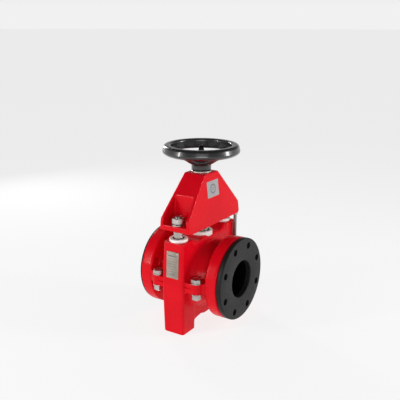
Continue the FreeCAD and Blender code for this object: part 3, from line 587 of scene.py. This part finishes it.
def body_castings():
    """Both halves of the body from one blank, so that their outsides meet at the split."""
    parts = []
    for side in (-1, 1):
        parts.append(flange_disc(side))
        parts.append(bell(side))
        parts.append(housing(side))
        for y_side in (-1, 1):
            parts.append(pillar(y_side, side))
            parts.append(clamp_ear(side, y_side))
    upper = melt(join("casting_upper", parts), 1.6, 9)
    holes = flange_hole_tools(FLANGE_BACK[1] - 4, FLANGE_FRONT[1] + 4)
    holes += flange_hole_tools(-FLANGE_FRONT[-1] - 4, -FLANGE_BACK[-1] + 4)
    for x in (-EAR_BOLT_X, EAR_BOLT_X):
        for y in (-EAR_BOLT_Y, EAR_BOLT_Y):
            holes.append(plain_rod(EAR_HOLE_R, -2 * EAR_REACH, 2 * EAR_REACH, x, y, 40))
    cavity_x = [-90, -52, -24, 0, 24, 52, 90]
    cavity_half = [(60, 60), (76, 61), (92, 61.5), (94, 61.5), (92, 61.5), (76, 61), (60, 60)]
    cut(upper, [
        join("holes", holes),
        plain_rod_x(SLEEVE_R + 0.5, -130, 130),
        loft_x("cavity", cavity_x, cavity_half, 60),
    ])
    lower = copy_of(upper, "casting_lower")
    cut(upper, [
        box(-FAR, FAR, -FAR, FAR, -FAR, SPLIT_HALF),
        rod_tools("bores", ROD_BUSH_R, 80, 130),
        rod_tools("pockets", 20.0, -5, POCKET_TOP),
        rod_tools("wide", 22.5, -5, 30),
        box(-SLOT_HALF, SLOT_HALF, -ROD_Y, ROD_Y, -5, POCKET_TOP),
        plain_rod(21.0, -5, POCKET_TOP),
        plain_rod(STEM_BUSH_R, 80, 130),
        plain_rod(STEM_COLLAR_R, STEM_SEAT, 130),
    ])
    cut(lower, [
        box(-FAR, FAR, -FAR, FAR, -SPLIT_HALF, FAR),
        rod_tools("pockets", 22.5, POCKET_BOTTOM, 5),
        rod_tools("plugs", 19.0, -150, -110),
        box(-SLOT_HALF, SLOT_HALF, -ROD_Y, ROD_Y, -POCKET_TOP, 5),
    ])
    finish_piece(upper, "body", RED, ["body_upper"])
    finish_piece(lower, "body", RED, ["body_lower"])


def yoke_half(z):
    """Half the yoke's thickness along the pipe at a height."""
    taper = YOKE_HALF_BOTTOM - YOKE_HALF_TOP
    return YOKE_HALF_BOTTOM - taper * (z - YOKE_BOTTOM) / (YOKE_TOP - YOKE_BOTTOM)


def leaning_prism(name, outline, inset):
    """A prism over an outline of (y, z) whose sides lean like the yoke's."""
    rings = []
    for side in (-1, 1):
        rings.append([(side * (yoke_half(z) - inset), y, z) for y, z in outline])
    return skin(name, rings)


def rounded_corners(corners, steps=8):
    """Points round a polygon of (y, z, radius) corners."""
    points = []
    count = len(corners)
    for n, (y, z, radius) in enumerate(corners):
        here = Vector((y, z))
        before = (Vector(corners[n - 1][:2]) - here).normalized()
        after = (Vector(corners[(n + 1) % count][:2]) - here).normalized()
        half_angle = before.angle(after) / 2
        start = here + before * radius / math.tan(half_angle)
        end = here + after * radius / math.tan(half_angle)
        centre = here + (before + after).normalized() * radius / math.sin(half_angle)
        a0 = math.atan2(start.y - centre.y, start.x - centre.x)
        a1 = math.atan2(end.y - centre.y, end.x - centre.x)
        turn = (a1 - a0 + math.pi) % (2 * math.pi) - math.pi
        for k in range(steps + 1):
            a = a0 + turn * k / steps
            points.append((centre.x + radius * math.cos(a), centre.y + radius * math.sin(a)))
    return points


def yoke_casting():
    """The yoke: a leaning trapezium, hollow in the middle and open at both ends over the rods."""
    outline = rounded_corners([
        (-YOKE_LENGTH_BOTTOM, YOKE_BOTTOM, 9), (-YOKE_LENGTH_BOTTOM, YOKE_KNEE, 16),
        (-YOKE_LENGTH_TOP, YOKE_TOP, 7), (YOKE_LENGTH_TOP, YOKE_TOP, 7),
        (YOKE_LENGTH_BOTTOM, YOKE_KNEE, 16), (YOKE_LENGTH_BOTTOM, YOKE_BOTTOM, 9)])
    blank = leaning_prism("yoke_casting", outline, 0)
    slope = (YOKE_TOP - YOKE_KNEE) / (YOKE_LENGTH_BOTTOM - YOKE_LENGTH_TOP)
    drop = YOKE_BACK_T * math.sqrt(1 + slope**2)
    roof_in = YOKE_TOP - slope * (YOKE_CAVITY_Y - YOKE_LENGTH_TOP) - drop
    flat = YOKE_LENGTH_TOP + (YOKE_TOP - drop - YOKE_BLOCK_BOTTOM) / slope
    below = YOKE_BOTTOM - 10
    cavity = [(-YOKE_CAVITY_Y, below), (-YOKE_CAVITY_Y, roof_in), (-flat, YOKE_BLOCK_BOTTOM),
              (flat, YOKE_BLOCK_BOTTOM), (YOKE_CAVITY_Y, roof_in), (YOKE_CAVITY_Y, below)]
    hollow = leaning_prism("hollow", cavity, YOKE_WALL)
    pockets = []
    for side in (-1, 1):
        corners = [(150, YOKE_EAR_TOP), (YOKE_POCKET_Y, YOKE_EAR_TOP), (YOKE_POCKET_Y, 290), (150, 290)]
        pockets.append(leaning_prism("pocket", [(side * y, z) for y, z in corners], YOKE_WALL))
    cut(blank, [hollow, join("pockets", pockets)])
    melt(blank, 1.25, 14)
    cut(blank, [
        rod_tools("holes", 10.3, 130, 170, 64),
        plain_rod(17.0, 220, 245),
        plain_rod(26.0, 239, 290),
        plain_rod(4.5, 130, 152, INDICATOR_X, INDICATOR_Y, 32),
    ])
    finish_piece(blank, "yoke_frame", RED, ["yoke"])


def wheel_spoke(angle):
    """A spoke that climbs and narrows from the hub to the rim."""
    rim_r = WHEEL_R - WHEEL_RIM_W / 2
    stations = [(8.0, -35.0, 16.5, 10.5), (26.0, -32.0, 14.5, 9.0), (46.0, -25.0, 11.5, 7.5),
                (66.0, -16.0, 8.0, 6.0), (rim_r, -7.0, 5.0, 4.5)]
    turn_c, turn_s = math.cos(angle), math.sin(angle)
    at, values = eased([s[0] for s in stations], [s[1:] for s in stations], 28)
    rings = []
    for r, (above, wide, thick) in zip(at, values):
        one = []
        for k in range(40):
            a = 2 * math.pi * k / 40
            y = wide * math.cos(a)
            z = WHEEL_Z + above + thick * math.sin(a)
            one.append((r * turn_c - y * turn_s, r * turn_s + y * turn_c, z))
        rings.append(one)
    return skin("spoke", rings)


def wheel_casting():
    top, low = WHEEL_Z + WHEEL_RIM_H / 2, WHEEL_Z - WHEEL_RIM_H / 2
    inner = WHEEL_R - WHEEL_RIM_W
    section = rounded_corners([
        (inner, top, 4.5), (WHEEL_R - 3.5, top, 8.0), (WHEEL_R + 1.4, low + 6, 6.5),
        (WHEEL_R - 8, low - 1, 6.0), (inner - 1, low - 1.2, 4.0)], 7)
    rim = turned("rim", section, steps=240)
    hub = [(0.01, HUB_BOTTOM), (24.5, HUB_BOTTOM), (26, 283.5), (26, 290), (26.6, 294), (28, 297),
           (30.6, 301), (34, 305), (33.2, 306.5), (25, 311.6), (23.5, HUB_TOP), (0.01, HUB_TOP)]
    hub_part = turned("hub", hub, steps=120)
    spokes = []
    for n in range(WHEEL_SPOKES):
        spokes.append(wheel_spoke(math.radians(WHEEL_SPOKE_ANGLE + 360 / WHEEL_SPOKES * n)))
    wheel = melt(join("handwheel_casting", [rim, hub_part] + spokes), 1.0, 8)
    cut(wheel, [plain_rod(HUB_SHAFT_R, 260, 320, steps=64), box(6.5, 12.8, -3, 3, 286, 308)])
    finish_piece(wheel, "handwheel", WHEEL_BLACK, ["handwheel"], 60)


# ---- rubber sleeve --------------------------------------------------------------------
def rubber_flange(side, node):
    """The moulded end flange: thick with a stepped back at the outlet, a thin lip at the inlet."""
    seat = FLANGE_FRONT[side]
    outline = [(BORE_R, seat)]
    if side > 0:
        outer, rounding = FLANGE_R, 3.0
        outline += [(outer - 4.5, seat), (outer - 4.5, seat + 2.6)]
        for c, s in quarter_turn(4):
            outline.append((outer - 1.5 + 1.5 * s, seat + 4.5 - 1.5 * c))
    else:
        outer, rounding = FLANGE_R - 2.0, 1.5
        outline += [(outer - 0.5, seat), (outer, seat + 0.5)]
    for c, s in quarter_turn(8):
        outline.append((outer - rounding + rounding * c, FACE - rounding + rounding * s))
    for c, s in quarter_turn(4):
        outline.append((BORE_R + 2.0 - 2.0 * s, FACE - 2.0 + 2.0 * c))
    made = turned_x(node + "_moulding", [(r, side * x) for r, x in outline], steps=240)
    low, high = (100, 140) if side > 0 else (-140, -100)
    cut(made, [join("holes", flange_hole_tools(low, high))])
    finish_piece(made, "body", RUBBER, [node], 30)


def sleeve_piece(name, x0, x1, z_side):
    """Half of the tube's wall from x0 to x1.

    It is made where it lies, with its transform baked in, and follows neither bar.
    """
    sides = 28
    rings = []
    for x in np.linspace(x0, x1, max(3, int(abs(x1 - x0) / 3))):
        one = []
        for k in range(sides + 1):
            a = math.pi * k / sides
            one.append((x, SLEEVE_R * math.cos(a), z_side * SLEEVE_R * math.sin(a)))
        for k in range(sides, -1, -1):
            a = math.pi * k / sides
            one.append((x, BORE_R * math.cos(a), z_side * BORE_R * math.sin(a)))
        rings.append(one)
    made = skin(name, rings)
    # The wall takes the rubber darkened with painted shade for the inside of the bore.
    made.data.materials.append(SHADED_BORE_RUBBER)
    shade(made, 40)
    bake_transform(made)
    return made


def sleeve_wall():
    """The tube in six pieces: a middle and two ends, above and below the split."""
    grip = 14.0     # half the length of the middle pieces
    fade = 84.0     # sets the blend gradient listed for each end piece
    for z_side, body, tag in ((1, "upper_bar", "upper"), (-1, "yoke_frame", "lower")):
        pieces = (
            ("middle", -grip, grip, 0, 0),
            ("outlet", grip, FLANGE_FRONT[1], -1 / fade, grip),
            ("inlet", -FLANGE_FRONT[-1], -grip, 1 / fade, -grip),
        )
        for place, x0, x1, along, start_x in pieces:
            name = "sleeve_" + tag + "_" + place
            sleeve_piece(name, x0, x1, z_side)
    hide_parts("sleeve_tube")


# ---- turned pieces and fasteners ------------------------------------------------------
def bevelled(outline, size, steps=4):
    """Round every corner of a closed (radius, height) outline."""
    points = []
    count = len(outline)
    for n, corner in enumerate(outline):
        here = Vector(corner)
        before = Vector(outline[n - 1]) - here
        after = Vector(outline[(n + 1) % count]) - here
        reach = min(size, before.length * 0.45, after.length * 0.45)
        a = here + before.normalized() * reach
        b = here + after.normalized() * reach
        for k in range(steps + 1):
            t = k / steps
            points.append(tuple(a * (1 - t) ** 2 + here * 2 * t * (1 - t) + b * t * t))
    return points


def ring_outline(outer, inner, low, high):
    return [(inner, low), (outer, low), (outer, high), (inner, high)]


def turned_piece(node, outline, body, material, y=0.0, size=0.4):
    made = turned(node + "_turned", bevelled(outline, size), 0.0, y)
    finish_piece(made, body, material, [node], 50)


def hex_radius(angle, flats):
    """Distance from the middle to the edge of a hexagon in a direction."""
    sixth = math.pi / 3
    return flats / 2 / math.cos((angle + sixth / 2) % sixth - sixth / 2)


def hex_rings(flats, low, high, x, y, turn, both=True, steps=96):
    """Rings of a hexagon whose corners are chamfered at 30 degrees, low side first."""
    corner = flats / math.sqrt(3)
    depth = 0.13 * corner
    slant = depth * 1.7
    levels = []
    for t in (0, 0.2, 0.45, 0.7, 1):
        levels.append((low + depth * t, corner - slant * (1 - t)) if both else (low, corner))
    for t in (0, 0.3, 0.55, 0.8, 1):
        levels.append((high - depth * (1 - t), corner - slant * t))
    rings = []
    for z, limit in levels:
        one = []
        for k in range(steps):
            a = 2 * math.pi * k / steps
            r = min(hex_radius(a - turn, flats), limit)
            one.append((x + r * math.cos(a), y + r * math.sin(a), z))
        rings.append(one)
    return rings


def nut_part(size, hole, low, x, y, turn):
    """A chamfered nut standing at a height, turned by some degrees."""
    flats, height = size
    high = low + height
    lead = 0.9      # countersink at both ends of the thread
    rings = hex_rings(flats, low, high, x, y, math.radians(turn))
    for r, z in ((hole + lead, high), (hole, high - lead), (hole, low + lead), (hole + lead, low)):
        rings.append(round_ring(r, z, x, y))
    return skin("nut", rings, closed=True)


def washer_part(size, low, x, y):
    outer, inner, thick = size
    return turned("washer", bevelled(ring_outline(outer, inner, low, low + thick), 0.4), x, y)


def thread_rings(radius, pitch, low, high, x, y, depth, left=False, steps=96):
    """Rings of a screw thread: a cylinder grooved along a helix."""
    rings = []
    rows = max(4, int((high - low) / pitch * 7))
    for n in range(rows + 1):
        z = low + (high - low) * n / rows
        one = []
        for k in range(steps):
            a = 2 * math.pi * k / steps
            along = (z / pitch + (1 if left else -1) * k / steps) % 1.0
            groove = depth * max(0.0, 1 - abs(along - 0.5) * 2.6)
            fade = min(1.0, (z - low) / pitch, (high - z) / pitch)
            r = radius - groove * max(0.0, fade)
            one.append((x + r * math.cos(a), y + r * math.sin(a), z))
        rings.append(one)
    return rings


def shaft(name, x, y, stations):
    """A shaft from stations, each (radius, low, high) or, threaded, (radius, low, high, pitch, depth).

    A negative pitch is a left-hand thread.
    """
    rings = []
    for radius, low, high, *thread in stations:
        if thread:
            pitch, depth = thread
            rings += thread_rings(radius, abs(pitch), low, high, x, y, depth, pitch < 0)
        else:
            rings += [round_ring(radius, low, x, y), round_ring(radius, high, x, y)]
    return skin(name, rings)


def tie_rod(y, node):
    """A rod with a turned-down, threaded end above the yoke's ear and below the lower bar."""
    shoulder = -62.3
    chamfer = ROD_R - 0.5
    tip = 8.6
    depth = 1.1
    made = shaft(node + "_threaded", 0, y, [
        (tip, -116, -116), (ROD_END_R, -114.6, -90, ROD_PITCH, depth), (ROD_END_R, -89.8, shoulder),
        (chamfer, shoulder, shoulder), (ROD_R, shoulder + 0.5, YOKE_BOTTOM - 0.5),
        (chamfer, YOKE_BOTTOM, YOKE_BOTTOM), (ROD_END_R, YOKE_BOTTOM, YOKE_EAR_TOP),
        (ROD_END_R, YOKE_EAR_TOP + 0.2, 179.6, ROD_PITCH, depth), (tip, 181, 181)])
    finish_piece(made, "yoke_frame", ZINC, [node], 40)


def ear_bolt(x, y, seat):
    """A hexagon bolt whose head sits on the upper washer."""
    flats, height = HEAD_M16
    top = seat + height
    head = hex_rings(flats, seat, top, x, y, math.radians(15), both=False)
    head += [round_ring(9.5, top, x, y), round_ring(8.7, top - 0.5, x, y)]
    stem = [round_ring(EAR_BOLT_R, seat, x, y), round_ring(EAR_BOLT_R, -4.0, x, y)]
    stem += reversed(thread_rings(EAR_BOLT_R, 2.0, -seat - 15.0, -4.5, x, y, 0.95))
    stem.append(round_ring(6.9, -seat - 16.0, x, y))
    return skin("bolt", list(reversed(stem)) + head)


def fasteners():
    """Nuts and washers of the tie rods, and the bolts, nuts and washers of the clamping ears."""
    top_washer = YOKE_EAR_TOP
    low_washer = -92.8
    top_nut = top_washer + WASHER_M20[2]
    low_nut = low_washer - NUT_M20[1]
    for name, node, low, turn in (("rod_top_nut_pair", "rod_top_nuts", top_nut, 20),
                                  ("rod_bottom_nut_pair", "rod_bottom_nuts", low_nut, 0)):
        pair = [nut_part(NUT_M20, ROD_END_R, low, 0, y, turn) for y in ROD_SIDES]
        finish_piece(join(name, pair), "yoke_frame", ZINC, [node], 30)
    for node, low in (("rod_top_washers", top_washer), ("rod_bottom_washers", low_washer)):
        pair = [washer_part(WASHER_M20, low, 0, y) for y in ROD_SIDES]
        finish_piece(join(node + "_pair", pair), "yoke_frame", ZINC, [node], 50)
    bolts, nuts, washers = [], [], []
    seat = EAR_T + WASHER_M16[2]
    for x in (-EAR_BOLT_X, EAR_BOLT_X):
        for y in (-EAR_BOLT_Y, EAR_BOLT_Y):
            bolts.append(ear_bolt(x, y, seat))
            nuts.append(nut_part(NUT_M16, EAR_BOLT_R, -seat - NUT_M16[1], x, y, 40))
            washers += [washer_part(WASHER_M16, low, x, y) for low in (EAR_T, -seat)]
    finish_piece(join("ear_bolt_set", bolts), "body", ZINC, ["ear_bolts"], 30)
    finish_piece(join("ear_nut_set", nuts), "body", ZINC, ["ear_nuts"], 30)
    finish_piece(join("ear_washer_set", washers), "body", ZINC, ["ear_washers"], 50)


def bushes():
    """White guide bushes for the rods and the stem, each with its wiper."""
    fit = 0.05
    for y, node in ((-ROD_Y, "rod_bush_front"), (ROD_Y, "rod_bush_rear")):
        outline = [
            (ROD_R + fit, POCKET_TOP), (ROD_BUSH_R, POCKET_TOP), (ROD_BUSH_R, COLUMN_TOP),
            (24.0, COLUMN_TOP), (24.0, 122.5), (15.0, 122.5), (15.0, 119.5), (ROD_R + fit, 119.5)]
        turned_piece(node, outline, "body", WHITE, y, 1.0)
    wiper = bevelled([(12.8, 119.5), (15.0, 119.5), (15.0, 123.5), (13.4, 123.5)], 0.4)
    wipers = [turned("wiper", wiper, 0, y) for y in ROD_SIDES]
    finish_piece(join("rod_wiper_pair", wipers), "body", SEAL, ["rod_wipers"], 50)
    outline = [
        (STEM_R + fit, POCKET_TOP), (STEM_BUSH_R, POCKET_TOP), (STEM_BUSH_R, STEM_SEAT),
        (STEM_COLLAR_R, STEM_SEAT), (STEM_COLLAR_R, 116.0), (21.5, 116.0), (21.5, 113.0),
        (STEM_R + fit, 113.0)]
    turned_piece("stem_bush", outline, "body", WHITE, size=1.0)
    outline = [(19.3, 113.0), (21.5, 113.0), (21.5, 117.0), (19.9, 117.0)]
    turned_piece("stem_wiper", outline, "body", SEAL)


def spindle_pieces():
    """The screw spindle with its collar, and the washer and nut that hold the wheel on it."""
    washer_top = HUB_TOP + 2.5
    outline = ring_outline(15.0, 8.3, HUB_TOP, washer_top)
    turned_piece("hub_washer", outline, "handwheel", ZINC)
    hub_nut = nut_part((24.0, 10.0), 8.0, washer_top, 0, 0, 0)
    hub_nut.name = "hub_nut_chamfered"
    finish_piece(hub_nut, "handwheel", ZINC, ["hub_nut"], 30)
    spindle = shaft("spindle_threaded", 0, 0, [
        (10.5, 93, 93), (12.0, 95, 226, -5.0, 2.2), (12.0, 227, 246.5), (21.0, 246.5, 254.5),
        (11.0, 254.5, HUB_BOTTOM), (HUB_SHAFT_R, HUB_BOTTOM, 311), (8.0, 311, HUB_TOP),
        (8.0, HUB_TOP, 326, 2.0, 0.9), (6.9, 327, 327)])
    finish_piece(spindle, "handwheel", STEEL, ["spindle"], 40)


# ---- plates ---------------------------------------------------------------------------
def plate_ring(half_wide, half_high, depth, radius):
    """A rounded rectangle drawn on a plane that faces -Y."""
    return [(x, -depth, z) for x, z, _ in rounded_ring(half_wide, -half_high, half_high, 0.0, radius)]


def tilt(points, lean, y, z):
    """Lay points drawn on a plane facing -Y against the leaning pillar face."""
    c, s = math.cos(lean), math.sin(lean)
    return [(px, py * c - pz * s + y, py * s + pz * c + z) for px, py, pz in points]


def on_pillar(name, rings):
    return skin(name, [tilt(one, PLATE_LEAN, PLATE_Y, PLATE_Z) for one in rings])


def nameplate():
    """A brushed plate with a raised frame and plain engraved rules; it carries no words."""
    outline = ((18.5, 35.5, 0.0, 2.0), (18.5, 35.5, 0.9, 2.0), (18.2, 35.2, 1.2, 1.8))
    plate = on_pillar("nameplate_blank", [plate_ring(*one) for one in outline])
    finish_piece(plate, "body", PLATE, ["nameplate"])
    rows = [(24.0, 13.0, 1.6)]
    rows += [(17.0 - 7.0 * n, 13.0, 0.5) for n in range(6)]
    rows.append((-25.0, 9.0, 1.2))
    marks = []
    for z, half, thick in rows:
        low, high = z - thick, z + thick
        rings = []
        for y in (-1.1, -1.3):
            rings.append([(-half, y, low), (half, y, low), (half, y, high), (-half, y, high)])
        marks.append(on_pillar("rule", rings))
    finish_piece(join("nameplate_rules", marks), "body", INK)
    domes = []
    for x in (-14.5, 14.5):
        for z in (-31.5, 31.5):
            domes.append(rivet_dome(x, z))
    finish_piece(join("nameplate_rivet_domes", domes), "body", ZINC, ["nameplate_rivets"], 60)


def rivet_dome(x, z, radius=1.9, rise=1.0, seat=1.1):
    rings = []
    for c, s in quarter_turn(6)[:-1]:
        flat = round_ring(radius * c, z, x, 0.0, 24)
        rings.append([(px, -seat - rise * s, z + py) for px, py, _ in flat])
    return on_pillar("dome", rings)


def on_yoke(name, rings):
    """Points drawn as (out, y, z) about the label's middle, laid on the yoke's leaning side."""
    lean = math.atan((YOKE_HALF_BOTTOM - YOKE_HALF_TOP) / (YOKE_TOP - YOKE_BOTTOM))
    c, s = math.cos(lean), math.sin(lean)
    middle = yoke_half(LABEL_Z)
    placed = []
    for one in rings:
        placed.append([(out * c - z * s + middle, y, out * s + z * c + LABEL_Z) for out, y, z in one])
    return skin(name, placed)


def label_mark(outline):
    """A flat printed mark from an outline of (y, z) about the label's middle."""
    rings = [[(out, y, z) for y, z in outline] for out in (0.45, 0.56)]
    return on_yoke("mark", rings)


def label():
    """A white film with a plain ring, two arrow heads and two bars; it carries no words."""
    rings = []
    for out, half_y, half_z in ((0.0, 27.5, 21.5), (0.45, 27.5, 21.5), (0.5, 27.3, 21.3)):
        rings.append([(out, y, z) for y, _, z in plate_ring(half_y, half_z, 0, 1.5)])
    film = on_yoke("label_sheet", rings)
    finish_piece(film, "yoke_frame", FILM, ["label_plate"])
    marks = []
    inner, outer = 9.5, 13.0
    steps = 14
    for start, end in ((20, 160), (200, 340)):
        for n in range(steps):
            a0 = math.radians(start + (end - start) * n / steps)
            a1 = math.radians(start + (end - start) * (n + 1) / steps)
            corners = ((inner, a0), (outer, a0), (outer, a1), (inner, a1))
            marks.append(label_mark([(r * math.cos(a), r * math.sin(a)) for r, a in corners]))
    for side in (1, -1):
        marks.append(label_mark([(side * y, side * z) for y, z in ((7.5, 2.5), (15.0, 2.5), (11.2, -3.5))]))
    for z in (-2.0, 2.0):
        low, high = z - 0.8, z + 0.8
        marks.append(label_mark([(-5.0, low), (5.0, low), (5.0, high), (-5.0, high)]))
    finish_piece(join("label_symbol", marks), "yoke_frame", INK)


body_castings()
yoke_casting()
wheel_casting()
rubber_flange(-1, "sleeve_flange_inlet")
rubber_flange(1, "sleeve_flange_outlet")
sleeve_wall()
tie_rod(-ROD_Y, "tie_rod_front")
tie_rod(ROD_Y, "tie_rod_rear")
fasteners()
bushes()
spindle_pieces()
nameplate()
label()

# ---- CAD nodes that keep their shape --------------------------------------------------
CAD_LOOKS = {
    "body_gasket": RED, "bottom_plugs": ZINC, "lower_pinch_bar": STEEL, "upper_pinch_bar": STEEL,
    "spindle_bush": BRONZE, "thrust_bearing_lower": STEEL, "thrust_bearing_upper": STEEL,
    "bearing_cover": ZINC, "indicator_rod": GREY_ROD, "indicator_locknut": ZINC, "stem_tube": ZINC,
    "stem_nut": BRONZE, "hub_key": STEEL,
}


def dress_cad_node(node, material):
    """Give a CAD node its material and break its edges a little."""
    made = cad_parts[node]
    made.data.materials.clear()
    made.data.materials.append(material)
    edge = made.modifiers.new("edge", "BEVEL")
    edge.width = 0.0004
    edge.segments = 2
    edge.limit_method = "ANGLE"
    edge.angle_limit = math.radians(40)
    edge.harden_normals = True


for node, material in CAD_LOOKS.items():
    dress_cad_node(node, material)


# ---- floor, light and camera ----------------------------------------------------------
STAGE_GREY = (0.2, 0.2, 0.2, 1.0)
STAGE_GLOW = 0.8        # the floor's own light, which keeps it pale to the edge of the picture
HORIZON = (0.88, 0.88, 0.88)
CEILING = (0.12, 0.12, 0.13)


def pale_floor():
    """A wide pale floor just under the feet."""
    material, _, shader = new_material("pale_floor")
    shader.inputs["Base Color"].default_value = STAGE_GREY
    shader.inputs["Roughness"].default_value = 0.95
    shader.inputs["Specular IOR Level"].default_value = 0.0
    shader.inputs["Emission Color"].default_value = (1.0, 1.0, 1.0, 1.0)
    shader.inputs["Emission Strength"].default_value = STAGE_GLOW
    bpy.ops.mesh.primitive_plane_add(size=400.0, location=(0.0, 0.0, -0.0005))
    floor = bpy.context.object
    floor.name = "floor"
    floor.data.materials.append(material)


def studio_world():
    """A pale room: bright at the horizon, so that it meets the floor, and dimmer overhead."""
    world = bpy.data.worlds.new("studio")
    world.use_nodes = True
    tree = world.node_tree
    where = tree.nodes.new("ShaderNodeTexCoord")
    parts = tree.nodes.new("ShaderNodeSeparateXYZ")
    tree.links.new(where.outputs["Generated"], parts.inputs["Vector"])
    room = ramp(tree, parts.outputs["Z"], [(0.03, HORIZON), (0.35, CEILING)])
    tree.links.new(room, tree.nodes["Background"].inputs["Color"])
    tree.nodes["Background"].inputs["Strength"].default_value = 1.0
    bpy.context.scene.world = world


def softbox(name, azimuth, elevation, distance, wide, high, power):
    """An area light seen from the object at an azimuth (0 from -Y, 90 from +X) and elevation."""
    a, e = math.radians(azimuth), math.radians(elevation)
    out = Vector((math.sin(a) * math.cos(e), -math.cos(a) * math.cos(e), math.sin(e)))
    middle = Vector((0.0, 0.0, 0.24))
    lamp = bpy.data.lights.new(name, "AREA")
    lamp.shape = "RECTANGLE"
    lamp.size, lamp.size_y = wide, high
    lamp.energy = power
    made = bpy.data.objects.new(name, lamp)
    made.location = middle + out * distance
    made.rotation_mode = "QUATERNION"
    made.rotation_quaternion = (-out).to_track_quat("-Z", "Y")
    bpy.context.scene.collection.objects.link(made)


def view_camera():
    """A camera in front, to the right and above, aimed at the middle of the yoke."""
    lens = bpy.data.cameras.new("camera")
    lens.sensor_width = 36.0
    lens.lens = 55.43
    camera = bpy.data.objects.new("camera", lens)
    camera.location = (0.85510, -1.32931, 0.77611)
    aim = Vector((-0.00287, -0.00186, 0.33228)) - camera.location
    camera.rotation_mode = "QUATERNION"
    camera.rotation_quaternion = aim.to_track_quat("-Z", "Y")
    bpy.context.scene.collection.objects.link(camera)
    bpy.context.scene.camera = camera


pale_floor()
studio_world()
bpy.context.scene.view_settings.view_transform = "Standard"
softbox("key_left", -34.0, 16.0, 1.7, 0.12, 0.8, 10.0)
softbox("key_right", 114.0, 16.0, 1.9, 0.34, 0.7, 17.0)
softbox("front_fill", 34.0, 12.0, 2.4, 1.3, 0.7, 16.0)
softbox("rim_left", -115.0, 20.0, 1.8, 0.2, 0.9, 9.0)
view_camera()
